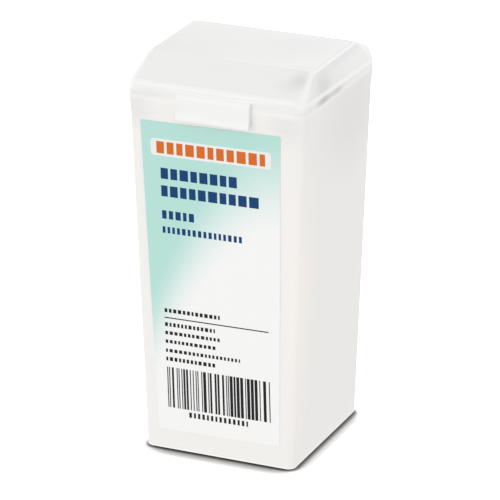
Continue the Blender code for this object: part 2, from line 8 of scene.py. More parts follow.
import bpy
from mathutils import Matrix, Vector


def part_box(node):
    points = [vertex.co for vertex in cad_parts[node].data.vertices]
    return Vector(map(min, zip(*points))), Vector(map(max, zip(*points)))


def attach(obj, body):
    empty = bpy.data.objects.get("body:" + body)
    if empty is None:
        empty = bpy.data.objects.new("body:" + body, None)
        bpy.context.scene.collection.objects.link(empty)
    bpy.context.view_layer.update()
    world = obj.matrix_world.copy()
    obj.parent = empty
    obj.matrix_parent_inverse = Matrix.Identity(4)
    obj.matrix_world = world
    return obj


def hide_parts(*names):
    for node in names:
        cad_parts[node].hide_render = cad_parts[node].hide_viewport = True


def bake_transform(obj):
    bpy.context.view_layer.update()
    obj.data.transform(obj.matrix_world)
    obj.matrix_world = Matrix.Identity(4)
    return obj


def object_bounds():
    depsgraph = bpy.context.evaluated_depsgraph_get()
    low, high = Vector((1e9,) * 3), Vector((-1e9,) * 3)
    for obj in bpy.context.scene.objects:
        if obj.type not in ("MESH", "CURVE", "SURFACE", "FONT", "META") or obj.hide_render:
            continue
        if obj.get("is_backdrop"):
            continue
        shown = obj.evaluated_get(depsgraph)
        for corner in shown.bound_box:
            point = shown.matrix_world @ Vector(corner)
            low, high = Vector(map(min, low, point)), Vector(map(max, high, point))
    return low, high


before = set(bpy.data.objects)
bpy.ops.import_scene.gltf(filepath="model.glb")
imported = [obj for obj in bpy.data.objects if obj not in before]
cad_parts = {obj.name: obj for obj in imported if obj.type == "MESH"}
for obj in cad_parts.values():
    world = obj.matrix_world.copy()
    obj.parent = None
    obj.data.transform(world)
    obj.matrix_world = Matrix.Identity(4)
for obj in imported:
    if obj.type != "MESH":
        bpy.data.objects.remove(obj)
cad_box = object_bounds()

# %% Blender's modules and the millimetre
import math
import random

import bmesh
import bpy
from mathutils import Matrix, Vector

MM = 0.001

# %% [markdown]
# The camera stands in front of the box, to its right and above it, and far away, so that upright
# edges stay nearly parallel. Its distance and angles come from matching the box's corners. Blender
# wants a lens in millimetres for a 36 mm sensor, so the focal length in pixels is converted.

# %% The camera
IMAGE_SIDE = 500
FOCAL_PIXELS = 3849
SENSOR = 36
AZIMUTH, ELEVATION, ROLL = math.radians(23.821), math.radians(21.112), math.radians(-0.068)
CAMERA_DISTANCE = 744.922 * MM
AIM_RIGHT, AIM_UP = -0.436 * MM, -1.981 * MM
CLIP_START, CLIP_END = 10 * MM, 10000 * MM


def new_object(name, data):
    """An object at the origin, in the scene."""
    thing = bpy.data.objects.new(name, data)
    bpy.context.scene.collection.objects.link(thing)
    return thing


def direction(azimuth, elevation):
    """The way to something that stands at these angles from the box's front."""
    level = math.cos(elevation)
    return Vector((math.sin(azimuth) * level, -math.cos(azimuth) * level, math.sin(elevation)))


backwards = direction(AZIMUTH, ELEVATION)
rightwards = Vector((math.cos(AZIMUTH), math.sin(AZIMUTH), 0))
upwards = backwards.cross(rightwards)
aim = Vector((0, 0, cad_box[1].z / 2)) + rightwards * AIM_RIGHT + upwards * AIM_UP

camera_data = bpy.data.cameras.new("camera")
camera_data.sensor_width = SENSOR
camera_data.lens = FOCAL_PIXELS * SENSOR / IMAGE_SIDE
camera_data.clip_start, camera_data.clip_end = CLIP_START, CLIP_END
camera = new_object("camera", camera_data)
axes = Matrix((rightwards, upwards, backwards)).transposed() @ Matrix.Rotation(ROLL, 3, "Z")
camera.matrix_world = Matrix.Translation(aim + backwards * CAMERA_DISTANCE) @ axes.to_4x4()
bpy.context.scene.camera = camera
print(f"lens {camera_data.lens:.1f} mm, {CAMERA_DISTANCE:.3f} m from the box")

# %% [markdown]
# The sizes that the pieces share. The frame gives the outer heights and faces, and what a bounding
# box can't tell, such as a wall's thickness, is named here in real millimetres.

# %% Shared sizes
GAP, SNUG = 0.3 * MM, 0.1 * MM
LID_REST, PARTING_EDGE = 0.01 * MM, 0.015 * MM
# A painted highlight along the parting edges: its strength, and how far from the parting it fades out.
PARTING_HIGHLIGHT, HIGHLIGHT_REACH = 0.5, 0.6 * MM
CASE_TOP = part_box("case")[1].z
FACE_X, FACE_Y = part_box("case")[1].x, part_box("case")[1].y
TOTAL_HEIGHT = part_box("lid")[1].z
LID_FOOT = CASE_TOP + GAP
PARTING = CASE_TOP + GAP / 2
LID_BOTTOM = CASE_TOP + LID_REST
BAND_PROUD = 0.1 * MM
BASE_X, BASE_Y = 15.6 * MM, 16.15 * MM
CORNER_RADIUS, BASE_CORNER, INSIDE_RADIUS = 2.2 * MM, 1.5 * MM, 0.8 * MM
print(f"outside {FACE_X * 2 / MM:.1f} x {FACE_Y * 2 / MM:.1f} x {TOTAL_HEIGHT / MM:.1f} mm")

# %% [markdown]
# Moulded boxes are shells whose outline changes slowly with height. That is a loft: rings of
# equally many points, joined by faces. One loft can run up the outside, over the rim and down the
# inside, and so a hollow box is a single closed skin with no cutting at all.

# %% Rings and lofts
CORNER_STEPS, ROUND_SIDES = 10, 40
SHARP = math.radians(40)


def shares(count):
    """Evenly spaced numbers from 0 to 1."""
    return [step / count for step in range(count + 1)]


RING_ANGLES = [(quarter + t) * math.pi / 2 for quarter in range(4) for t in shares(CORNER_STEPS)]


def quarter_turns(steps):
    """The sine and cosine of evenly spaced angles from 0 to 90 degrees."""
    return [(math.sin(t * math.pi / 2), math.cos(t * math.pi / 2)) for t in shares(steps)]


def full_turn(sides):
    """Evenly spaced angles all the way round."""
    return [2 * math.pi * i / sides for i in range(sides)]


def rounded_ring(z, half_x, front_y, back_y, radius):
    """A rounded rectangle at one height, anticlockwise seen from above."""
    right, left = half_x - radius, radius - half_x
    front, back = front_y + radius, back_y - radius
    corners = ((right, back), (left, back), (left, front), (right, front))
    ring = []
    for i, angle in enumerate(RING_ANGLES):
        x, y = corners[i // (CORNER_STEPS + 1)]
        ring.append(Vector((x + radius * math.cos(angle), y + radius * math.sin(angle), z)))
    return ring


def add_piece(name, mesh):
    """An object at the origin from a bmesh, smooth except where faces meet sharply."""
    bmesh.ops.recalc_face_normals(mesh, faces=mesh.faces)
    data = bpy.data.meshes.new(name)
    mesh.to_mesh(data)
    mesh.free()
    data.shade_smooth()
    data.set_sharp_from_angle(angle=SHARP)
    return new_object(name, data)


def loft(name, rings, marks=()):
    """A closed skin through rings, capped at both ends. Marks say how much painted highlight each point
    gets.
    """
    mesh = bmesh.new()
    layer = mesh.verts.layers.float.new("edge")
    loops = [[mesh.verts.new(point) for point in ring] for ring in rings]
    for loop, levels in zip(loops, marks):
        for vertex, level in zip(loop, levels):
            vertex[layer] = level
    for first, second in zip(loops, loops[1:]):
        for i, corner in enumerate(first):
            j = (i + 1) % len(first)
            mesh.faces.new((corner, first[j], second[j], second[i]))
    mesh.faces.new(reversed(loops[0]))
    mesh.faces.new(loops[-1])
    return add_piece(name, mesh)


def column(name, x, y, profile):
    """A loft of circles round an upright axis, from pairs of a height and a radius."""
    return loft(name, [
        [Vector((x + radius * math.cos(a), y + radius * math.sin(a), z)) for a in full_turn(ROUND_SIDES)]
        for z, radius in profile
    ])


def wall_at(z):
    """How far the tapered side and front walls stand from the middle at a height."""
    share = z / PARTING
    side = BASE_X + (FACE_X - BAND_PROUD - BASE_X) * share
    return side, BASE_Y + (FACE_Y - BAND_PROUD - BASE_Y) * share


def case_ring(z, outwards, height=None):
    """The tapered box's outline at z, grown outwards or drawn in, and set at a height."""
    side, front = wall_at(z)
    half_x, half_y = side + outwards, front + outwards
    radius = max(BASE_CORNER + (CORNER_RADIUS - BASE_CORNER) * (z / PARTING) + outwards, INSIDE_RADIUS)
    return rounded_ring(z if height is None else height, half_x, -half_y, half_y, radius)


# %% [markdown]
# A Boolean joins or cuts shapes that a loft can't hold in one skin, such as the thumb tab on the
# lid. Each modifier's result is at once made into a plain mesh. Weighted normals then keep big flat
# faces flat to the eye, beside their small rounded edges.

# %% Modify, combine and finish meshes
NORMAL_WEIGHT = 60


def modified(piece, kind, **settings):
    """Gives a piece one modifier, and makes what it shows into the piece's own mesh."""
    modifier = piece.modifiers.new(kind, kind)
    for setting, value in settings.items():
        setattr(modifier, setting, value)
    graph = bpy.context.evaluated_depsgraph_get()
    piece.data = bpy.data.meshes.new_from_object(
        piece.evaluated_get(graph), preserve_all_data_layers=True, depsgraph=graph
    )
    piece.modifiers.clear()


def combine(piece, operation, tool):
    """Cuts the tool from the piece, or joins it on, and removes the tool."""
    modified(piece, "BOOLEAN", operation=operation, solver="EXACT", object=tool)
    bpy.data.objects.remove(tool, do_unlink=True)


def even_shading(piece):
    """Lets the large faces set the normals along their rounded edges."""
    piece.data.shade_smooth()
    piece.data.set_sharp_from_angle(angle=SHARP)
    modified(piece, "WEIGHTED_NORMAL", keep_sharp=True, weight=NORMAL_WEIGHT)


def rounded_edges(piece, width, segments):
    """Small rounded edges, as any moulded or tumbled piece has."""
    modified(piece, "BEVEL", width=width, segments=segments, limit_method="ANGLE", angle_limit=SHARP)


def block(name, low, high):
    """A plain box between two corners, for cutting."""
    mesh = bmesh.new()
    bmesh.ops.create_cube(mesh, size=1)
    bmesh.ops.scale(mesh, vec=Vector(high) - Vector(low), verts=mesh.verts)
    bmesh.ops.translate(mesh, vec=(Vector(high) + Vector(low)) / 2, verts=mesh.verts)
    return add_piece(name, mesh)


def extruded(name, outline, axis, start, end):
    """A prism from an outline on the two other axes, in their order."""
    i = "xyz".index(axis)
    ends = [[Vector((*pair[:i], level, *pair[i:])) for pair in outline] for level in (start, end)]
    return loft(name, ends)


# %% [markdown]
# The case is one moulding: a flat base with a small rounded edge, drafted walls, and a band a
# little proud of them round the rim. Inside, a ledge carries the insert, and a post on the floor
# carries the spool. The loft starts under the base, climbs the outside and comes down inside.

# %% The case
CASE_WALL, RIM_WALL, CASE_FLOOR = 1.3 * MM, 0.8 * MM, 1.4 * MM
BASE_EDGE, BASE_LINE = 0.15 * MM, 0.15 * MM
BAND_HEIGHT, BAND_SWELL = 2.4 * MM, 0.9 * MM
# The second number is the strength of a painted highlight down the front right corner.
INNER_FILLET, CASE_CORNER_HIGHLIGHT = 1.0 * MM, 0.4
DECK_DROP, DECK_SKIRT = 0.8 * MM, 4.2 * MM
DECK_TOP = CASE_TOP - DECK_DROP
SEAT = DECK_TOP - DECK_SKIRT
POST_RADIUS, POST_HEIGHT = 2.2 * MM, 7.0 * MM
HINGE_WIDTH, HINGE_HEIGHT = 24.0 * MM, 1.4 * MM
HINGE_THICKNESS, HINGE_FOLD, HINGE_GROOVE = 0.35 * MM, 0.15 * MM, 0.8 * MM
WALL_SHARES = (0.02, 0.25, 0.5, 0.75, 0.94)

# Each row is for case_ring: a place on the taper, how far outwards, and perhaps another height.
base = [(BASE_EDGE * (1 - c), -BASE_EDGE * (1 - s)) for s, c in quarter_turns(5)]
base.append((BASE_EDGE + BASE_LINE, 0))
wall = [(BASE_EDGE + BASE_LINE * 2, 0)]
wall += [(CASE_TOP * share, 0) for share in WALL_SHARES]
wall += [
    (CASE_TOP - BAND_HEIGHT - BAND_SWELL * (1 - t), BAND_PROUD * t * t * (3 - 2 * t)) for t in shares(6)
]
wall.append((PARTING, BAND_PROUD, CASE_TOP - HIGHLIGHT_REACH))
rim = [
    (PARTING, BAND_PROUD - PARTING_EDGE * (1 - c), CASE_TOP - PARTING_EDGE * (1 - s))
    for s, c in quarter_turns(3)
]
inside = [(CASE_TOP, -RIM_WALL), (SEAT, -RIM_WALL), (SEAT, -CASE_WALL)]
inside += [
    (CASE_FLOOR + INNER_FILLET * (1 - s), -CASE_WALL - INNER_FILLET * (1 - c)) for s, c in quarter_turns(4)
]
# Painted highlights: the finish lightens the colour by these marks, fully along the base edge, partly along
# the rim's parting edge, and in a band down the front right corner.
ring_highlight_marks = [1.0] * len(base) + [0.0] * len(wall) + [PARTING_HIGHLIGHT] * len(rim) + [0.0] * len(inside)
corner_highlight_marks = [
    CASE_CORNER_HIGHLIGHT * math.sin(2 * angle) ** 2 if angle > math.pi * 1.5 else 0 for angle in RING_ANGLES
]
case_highlight_marks = [[max(ring, corner) for corner in corner_highlight_marks] for ring in ring_highlight_marks]
case = loft("case_shell", [case_ring(*row) for row in base + wall + rim + inside], case_highlight_marks)

post_top = CASE_FLOOR + POST_HEIGHT
combine(case, "UNION", column("post", 0, 0, [
    (CASE_FLOOR / 2, POST_RADIUS), (post_top - POST_RADIUS / 2, POST_RADIUS), (post_top, POST_RADIUS / 2),
]))


def hinge_pocket(low, high):
    """The shallow recess in a back face that takes one half of the hinge."""
    half = HINGE_WIDTH / 2 + HINGE_FOLD
    front = FACE_Y - HINGE_THICKNESS - HINGE_FOLD
    return block("pocket", (-half, front, low), (half, FACE_Y + MM, high))


combine(case, "DIFFERENCE", hinge_pocket(PARTING - HINGE_HEIGHT / 2 - HINGE_FOLD, CASE_TOP + MM))
even_shading(case)
print(f"case: {len(case.data.polygons)} faces")

# %% [markdown]
# The lid has a low lip, then four slopes up to a flat roof. The lip's upper edge isn't level: it
# is lowest along the sides, where it falls towards the hinge, and highest at the back. So each
# point of a ring gets its own height, worked out from the direction that it faces.

# %% The lid's shell
LID_WALL, LID_ROOF = 1.0 * MM, 1.1 * MM
FRONT_LIP = LID_FOOT + 2.5 * MM
SIDE_LIP, SIDE_LIP_FALL = LID_FOOT + 1.9 * MM, 0.8 * MM
BACK_LIP = LID_FOOT + 3.5 * MM
SIDE_BEVEL, FRONT_SLOPE, BACK_SLOPE = 1.3 * MM, 7.2 * MM, 6.9 * MM
LIP_RADIUS, ROOF_RADIUS = CORNER_RADIUS + BAND_PROUD, 1.0 * MM
LIP_EDGE, ROOF_EDGE = 0.5 * MM, 0.4 * MM
# Strengths of the painted highlights along the lip's upper edge and the roof's edge, at the front and the
# sides, with how narrow each is, and the strength of the painted highlight at the rounded corners.
LIP_FRONT_HIGHLIGHT, LIP_SIDE_HIGHLIGHT, LIP_SLIMNESS = 0.4, 0.8, 0.5
ROOF_FRONT_HIGHLIGHT, ROOF_SIDE_HIGHLIGHT, ROOF_SLIMNESS = 0.1, 1.0, 0.15
CORNER_HIGHLIGHT = 0.7
EDGE_STEPS, SLOPE_SHARES = 8, (0.3, 0.45, 0.6, 0.75)
rise = TOTAL_HEIGHT - FRONT_LIP


def lip_tops(ring):
    """The height of the lip's upper edge at each point of a ring."""
    tops = []
    for point, angle in zip(ring, RING_ANGLES):
        side = SIDE_LIP - SIDE_LIP_FALL * (point.y + FACE_Y) / (2 * FACE_Y)
        end = BACK_LIP if math.sin(angle) > 0 else FRONT_LIP
        tops.append(side + (end - side) * math.sin(angle) ** 2)
    return tops


def lid_ring(share, drop=0.0, inwards=0.0):
    """The lid's outline a share of the way up its slopes."""
    flat = rounded_ring(
        0, FACE_X - SIDE_BEVEL * share - inwards, FRONT_SLOPE * share + inwards - FACE_Y,
        FACE_Y - BACK_SLOPE * share - inwards, LIP_RADIUS + (ROOF_RADIUS - LIP_RADIUS) * share,
    )
    return [
        Vector((point.x, point.y, top + (TOTAL_HEIGHT - top) * share - drop))
        for point, top in zip(flat, lip_tops(flat))
    ]


def level_ring(z, inwards):
    """The lip's outline at one height."""
    return rounded_ring(z, FACE_X - inwards, inwards - FACE_Y, FACE_Y - inwards, LIP_RADIUS - inwards)


def painted_highlight_marks(t, along_front, along_sides, slimness):
    """The painted highlight of each point of a ring that is t of the way round an edge's curve."""
    peak = (1 - abs(2 * t - 1)) ** slimness
    return [
        max(peak * (along_front * math.sin(a) ** 2 + along_sides * math.cos(a) ** 2),
            CORNER_HIGHLIGHT * math.sin(2 * a) ** 2)
        for a in RING_ANGLES
    ]


def ceiling_inset(slope, climb):
    """How far in from the lip's face a slope's inner side meets the ceiling."""
    return slope * (climb - LID_ROOF) / climb + LID_WALL * math.hypot(slope, climb) / climb


outer = [
    level_ring(LID_BOTTOM + PARTING_EDGE * (1 - s), PARTING_EDGE * (1 - c)) for s, c in quarter_turns(3)
]
outer.reverse()
outer.append(level_ring(LID_BOTTOM + HIGHLIGHT_REACH, 0))
# Each ring gets its painted highlight marks: the parting edge and the lip's and roof's rounded edges are
# lightened, and the slopes between are not.
lid_highlight_marks = [[PARTING_HIGHLIGHT] * len(RING_ANGLES)] * (len(outer) - 1) + [[0.0] * len(RING_ANGLES)]
for t in shares(EDGE_STEPS):
    outer.append(lid_ring(LIP_EDGE / rise * t**2, drop=LIP_EDGE * (1 - t) ** 2))
    lid_highlight_marks.append(painted_highlight_marks(t, LIP_FRONT_HIGHLIGHT, LIP_SIDE_HIGHLIGHT, LIP_SLIMNESS))
for share in SLOPE_SHARES:
    outer.append(lid_ring(share))
    lid_highlight_marks.append(painted_highlight_marks(0, 0, 0, 1))
for t in shares(EDGE_STEPS):
    outer.append(lid_ring(1 - ROOF_EDGE / rise * (1 - t) ** 2, inwards=ROOF_EDGE * t**2))
    lid_highlight_marks.append(painted_highlight_marks(t, ROOF_FRONT_HIGHLIGHT, ROOF_SIDE_HIGHLIGHT, ROOF_SLIMNESS))

lip_inside = level_ring(LID_BOTTOM, LID_WALL)
slope_feet = [
    Vector((point.x, point.y, top - LID_WALL / 2)) for point, top in zip(lip_inside, lip_tops(lip_inside))
]
ceiling = rounded_ring(
    TOTAL_HEIGHT - LID_ROOF,
    FACE_X - ceiling_inset(SIDE_BEVEL, TOTAL_HEIGHT - SIDE_LIP),
    ceiling_inset(FRONT_SLOPE, rise) - FACE_Y,
    FACE_Y - ceiling_inset(BACK_SLOPE, TOTAL_HEIGHT - BACK_LIP),
    ROOF_RADIUS,
)
lid = loft("lid_shell", [*reversed(outer), lip_inside, slope_feet, ceiling], reversed(lid_highlight_marks))

# %% [markdown]
# The thumb tab hangs from the lip's face, a gap clear of the band below, and flares outwards at its foot. A
# side view of two quarter arcs and a few straight runs is extruded across the lid. Its own edges are
# rounded before it joins the lid. A Boolean doesn't keep the painted highlight marks of what it joins on,
# so the tab is marked afterwards: its top edge gets the lip's painted highlight, and the rest a faint
# painted highlight, a little above a wall's.

# %% The thumb tab
TAB_WIDTH, TAB_SHEET = 15.0 * MM, 0.7 * MM
TAB_DROP, TAB_FLARE, TAB_REACH, TAB_TOE = 3.5 * MM, 1.8 * MM, 1.5 * MM, 0.6 * MM
TAB_TOP, TAB_FOOT = LID_FOOT + 1.5 * MM, LID_FOOT - TAB_DROP
TAB_CREASE = TAB_FOOT + TAB_FLARE
TAB_EDGE, TAB_CLEAR, TAB_HIGHLIGHT = 0.18 * MM, 0.04 * MM, 0.2

proud = GAP + TAB_SHEET
spread = TAB_REACH - proud
tab_profile = [(-LID_WALL / 2, LID_FOOT + GAP), (-LID_WALL / 2, TAB_TOP)]
tab_profile += [(proud * s, TAB_TOP - proud * (1 - c)) for s, c in quarter_turns(8)]
tab_profile += [(proud + spread * (1 - c), TAB_CREASE - TAB_FLARE * s) for s, c in quarter_turns(8)]
tab_profile += [(TAB_REACH - TAB_TOE, TAB_FOOT), (TAB_CLEAR, TAB_CREASE), (TAB_CLEAR, LID_FOOT + GAP)]
tab = extruded("tab", [(-FACE_Y - out, z) for out, z in tab_profile], "x", -TAB_WIDTH / 2, TAB_WIDTH / 2)
rounded_edges(tab, TAB_EDGE, 3)
combine(lid, "UNION", tab)
# The tab's painted highlight: like the lip's along its top edge, and faint on the rest.
for vertex, mark in zip(lid.data.vertices, lid.data.attributes["edge"].data):
    if vertex.co.y < -FACE_Y - TAB_CLEAR / 2:
        mark.value = LIP_FRONT_HIGHLIGHT if vertex.co.z > TAB_TOP - proud / 2 else TAB_HIGHLIGHT
combine(lid, "DIFFERENCE", hinge_pocket(LID_FOOT - MM, PARTING + HINGE_HEIGHT / 2 + HINGE_FOLD))
even_shading(lid)
print(f"lid: {len(lid.data.polygons)} faces, tab {TAB_WIDTH / MM:.0f} mm wide")

# %% [markdown]
# A living hinge is a thin web of the same plastic, moulded with both halves and flexed while still warm. It
# has a groove inside, where it folds. The web is built with many rows of faces across the fold.

# %% The living hinge
WEB_ROWS = 24
web_front, web_back = [], []
for share in shares(WEB_ROWS):
    z = PARTING - HINGE_HEIGHT / 2 + HINGE_HEIGHT * share
    across_groove = min(abs(z - PARTING) / (HINGE_GROOVE / 2), 1)
    depth = (HINGE_THICKNESS - HINGE_FOLD) * math.sqrt(1 - across_groove**2)
    web_front.append((FACE_Y - HINGE_THICKNESS + depth, z))
    web_back.append((FACE_Y, z))
hinge = extruded("hinge_web", web_back[::-1] + web_front, "x", -HINGE_WIDTH / 2, HINGE_WIDTH / 2)
print(f"hinge web: {HINGE_THICKNESS / MM} mm thick, {HINGE_FOLD / MM} mm at the fold")

# %% [markdown]
# The insert is a white plate with a skirt that fits the rim, and a collar that the lid closes over.
# On it stand a tapered outlet for the floss and a low boss with two pegs that hold the cutter.
# A pin below centres the spool. The plate is one loft, and the rest is joined on.

# %% The dispensing deck
DECK_PLATE, DECK_WALL = 1.2 * MM, 0.9 * MM
COLLAR_TOP = CASE_TOP + 0.8 * MM
COLLAR_INSET = BAND_PROUD - LID_WALL - GAP
OUTLET = Vector((-6.0 * MM, 1.0 * MM, 0))
OUTLET_BORE, OUTLET_TOP, OUTLET_FOOT, OUTLET_HEIGHT = 0.8 * MM, 1.9 * MM, 3.4 * MM, 2.6 * MM
DECK_EDGE = 0.15 * MM
BOSS_HEIGHT, BOSS_MARGIN = 0.4 * MM, 0.5 * MM
deck_underside = DECK_TOP - DECK_PLATE
skirt_outside = -RIM_WALL - SNUG
skirt_inside = skirt_outside - DECK_WALL

deck_rows = [
    (deck_underside, skirt_inside), (SEAT + SNUG, skirt_inside), (SEAT + SNUG, skirt_outside - DECK_EDGE),
    (SEAT + SNUG + DECK_EDGE, skirt_outside), (DECK_TOP, skirt_outside), (PARTING, COLLAR_INSET, CASE_TOP),
]
deck_rows += [
    (PARTING, COLLAR_INSET - DECK_EDGE * (1 - c), COLLAR_TOP - DECK_EDGE * (1 - s))
    for s, c in quarter_turns(3)
]
deck_rows += [
    (PARTING, COLLAR_INSET - DECK_WALL + DECK_EDGE * (1 - s), COLLAR_TOP - DECK_EDGE * (1 - c))
    for s, c in quarter_turns(3)
]
deck_rows.append((PARTING, COLLAR_INSET - DECK_WALL, DECK_TOP))
deck = loft("deck_insert", [case_ring(*row) for row in deck_rows])

# %% What stands on the deck
cutter_low, cutter_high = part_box("cutter")
spool_low, spool_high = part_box("spool")
CUTTER_SHEET, CUTTER_BEND = 0.3 * MM, 0.5 * MM
CUTTER_Y, PEG_X = (cutter_low.y + cutter_high.y) / 2, (cutter_low.x + cutter_high.x) / 2
PEG_RADIUS, PEG_SPACING = 0.6 * MM, 5.2 * MM
PEG_HEAD, PEG_HEAD_FLAT, PEG_HEAD_HEIGHT = 1.2 * MM, 0.3 * MM, 0.5 * MM
BREACH_MARGIN, BOSS_CORNER, PIN_OVERLAP = 1.5 * MM, 0.6 * MM, 5.0 * MM
in_plate, boss_top = DECK_TOP - DECK_PLATE / 2, DECK_TOP + BOSS_HEIGHT
boss_left, boss_right = cutter_low.x - BOSS_MARGIN, cutter_high.x - CUTTER_SHEET - CUTTER_BEND
boss_front, boss_back = cutter_low.y - BOSS_MARGIN, cutter_high.y + BOSS_MARGIN

combine(deck, "DIFFERENCE", block(
    "breach",
    (boss_right, cutter_low.y - BREACH_MARGIN, DECK_TOP),
    (FACE_X, cutter_high.y + BREACH_MARGIN, COLLAR_TOP + MM),
))

outlet_mouth = DECK_TOP + OUTLET_HEIGHT
outlet_profile = [(in_plate, OUTLET_FOOT)]
outlet_profile += [
    (DECK_TOP + (OUTLET_HEIGHT - DECK_EDGE) * t, OUTLET_TOP + (OUTLET_FOOT - OUTLET_TOP) * (1 - t) ** 2)
    for t in shares(8)
]
outlet_profile.append((outlet_mouth, OUTLET_TOP - DECK_EDGE))
combine(deck, "UNION", column("outlet", OUTLET.x, OUTLET.y, outlet_profile))

boss_rings = []
for z, inset in ((in_plate, 0), (boss_top - DECK_EDGE, 0), (boss_top, DECK_EDGE)):
    half = (boss_right - boss_left) / 2 - inset
    ring = rounded_ring(z, half, boss_front + inset, boss_back - inset, BOSS_CORNER)
    boss_rings.append([point + Vector(((boss_left + boss_right) / 2, 0, 0)) for point in ring])
combine(deck, "UNION", loft("boss", boss_rings))

pin_foot = spool_high.z - PIN_OVERLAP
combine(deck, "UNION", column("pin", 0, 0, [
    (pin_foot, POST_RADIUS / 2), (pin_foot + POST_RADIUS / 2, POST_RADIUS), (in_plate, POST_RADIUS),
]))
bore_profile = [(deck_underside - MM, OUTLET_TOP), (DECK_TOP, OUTLET_BORE)]
bore_profile += [
    (outlet_mouth - OUTLET_BORE * (1 - s), OUTLET_BORE * (2 - c)) for s, c in quarter_turns(5)
]
bore_profile.append((outlet_mouth + MM, OUTLET_BORE * 2))
combine(deck, "DIFFERENCE", column("bore", OUTLET.x, OUTLET.y, bore_profile))

head_foot = cutter_low.z + CUTTER_SHEET + SNUG
peg_profile = [(boss_top - BOSS_HEIGHT / 2, PEG_RADIUS), (head_foot, PEG_RADIUS)]
peg_profile += [
    (head_foot + PEG_HEAD_HEIGHT * s, PEG_HEAD_FLAT + (PEG_HEAD - PEG_HEAD_FLAT) * c)
    for s, c in quarter_turns(6)
]
peg_rows = (CUTTER_Y - PEG_SPACING / 2, CUTTER_Y + PEG_SPACING / 2)
for peg_y in peg_rows:
    combine(deck, "UNION", column("peg", PEG_X, peg_y, peg_profile))
even_shading(deck)
print(f"deck: {len(deck.data.polygons)} faces")

# %% [markdown]
# The cutter is a strip of thin stainless sheet, bent up at its right end. The notch in the blade
# holds the floss while its edge cuts it. A side view with a real bend radius is extruded to the
# strip's length, and the notch and the two peg holes are cut afterwards, as a press tool would.

# %% The cutter
NOTCH_WIDTH, NOTCH_MOUTH, NOTCH_DEPTH = 1.0 * MM, 2.2 * MM, 1.1 * MM
SHEET_EDGE = 0.04 * MM
bend_outside = CUTTER_BEND + CUTTER_SHEET
bend_x, bend_z = cutter_high.x - bend_outside, cutter_low.z + bend_outside
cutter_outline = [(cutter_low.x, cutter_low.z)]
cutter_outline += [(bend_x + bend_outside * s, bend_z - bend_outside * c) for s, c in quarter_turns(8)]
cutter_outline += [(cutter_high.x, cutter_high.z), (cutter_high.x - CUTTER_SHEET, cutter_high.z)]
cutter_outline += [(bend_x + CUTTER_BEND * c, bend_z - CUTTER_BEND * s) for s, c in quarter_turns(8)]
cutter_outline.append((cutter_low.x, cutter_low.z + CUTTER_SHEET))
cutter = extruded("cutter_strip", cutter_outline, "y", cutter_low.y, cutter_high.y)
foot, mouth = NOTCH_WIDTH / 2, NOTCH_MOUTH / 2
notch = [(-foot, -NOTCH_DEPTH), (foot, -NOTCH_DEPTH), (mouth, 0), (mouth, MM), (-mouth, MM), (-mouth, 0)]
notch_outline = [(CUTTER_Y + across, cutter_high.z + up) for across, up in notch]
combine(cutter, "DIFFERENCE", extruded("notch", notch_outline, "x", bend_x, cutter_high.x + MM))
hole_profile = [(cutter_low.z + offset, PEG_RADIUS + GAP) for offset in (-MM, MM)]
for peg_y in peg_rows:
    combine(cutter, "DIFFERENCE", column("hole", PEG_X, peg_y, hole_profile))
rounded_edges(cutter, SHEET_EDGE, 1)
even_shading(cutter)
print(f"cutter: {CUTTER_SHEET / MM} mm sheet, notch {NOTCH_DEPTH / MM} mm deep")

# %% [markdown]
# A spool is a turned shape: one outline spun about the upright axis. Its corners are rounded by
# replacing each with a short curve. The wound body of floss is turned too, a little fuller in the
# middle, because winding machines build it up that way.

# %% The spool and the body of the winding
SPOOL_FLANGE, SPOOL_CORE_WALL, FLANGE_EDGE = 1.2 * MM, 1.5 * MM, 0.3 * MM
FLOSS, WINDING_CROWN = 0.5 * MM, 0.6 * MM
CORNER_SHARE, TURNED_SIDES = 0.45, 96
winding_low, winding_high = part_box("floss_winding")
flange_radius, bore_radius = spool_high.x, POST_RADIUS + GAP
core_radius = bore_radius + SPOOL_CORE_WALL
flange_low, flange_high = spool_low.z + SPOOL_FLANGE, spool_high.z - SPOOL_FLANGE


def filleted(outline, radius, steps):
    """The outline with each corner swept round, over at most the given radius."""
    rounded = []
    for before, corner, after in zip(outline[-1:] + outline[:-1], outline, outline[1:] + outline[:1]):
        before, corner, after = Vector(before), Vector(corner), Vector(after)
        start = corner.lerp(before, min(radius / (before - corner).length, CORNER_SHARE))
        end = corner.lerp(after, min(radius / (after - corner).length, CORNER_SHARE))
        rounded += [start * (1 - t) ** 2 + corner * 2 * t * (1 - t) + end * t**2 for t in shares(steps)]
    return rounded


def turned(name, profile):
    """A body of revolution about the upright axis, from a closed loop of radius and height."""
    mesh = bmesh.new()
    spokes = [
        [mesh.verts.new((r * math.cos(a), r * math.sin(a), z)) for r, z in profile]
        for a in full_turn(TURNED_SIDES)
    ]
    for spoke, following in zip(spokes, spokes[1:] + spokes[:1]):
        for j, corner in enumerate(spoke):
            k = (j + 1) % len(profile)
            mesh.faces.new((corner, following[j], following[k], spoke[k]))
    return add_piece(name, mesh)


spool = turned("spool_bobbin", filleted([
    (bore_radius, spool_low.z), (flange_radius, spool_low.z), (flange_radius, flange_low),
    (core_radius, flange_low), (core_radius, flange_high), (flange_radius, flange_high),
    (flange_radius, spool_high.z), (bore_radius, spool_high.z),
], FLANGE_EDGE, 4))
even_shading(spool)

winding_height = winding_high.z - winding_low.z
winding_profile = [(core_radius + GAP, winding_low.z)]
winding_profile += [
    (winding_high.x - WINDING_CROWN * (1 - math.sin(math.pi * t)), winding_low.z + winding_height * t)
    for t in shares(24)
]
winding_profile.append((core_radius + GAP, winding_high.z))
winding = turned("floss_body", winding_profile)
print(f"spool: {(spool_high.z - spool_low.z) / MM:.1f} mm tall, {flange_radius * 2 / MM:.1f} mm across")

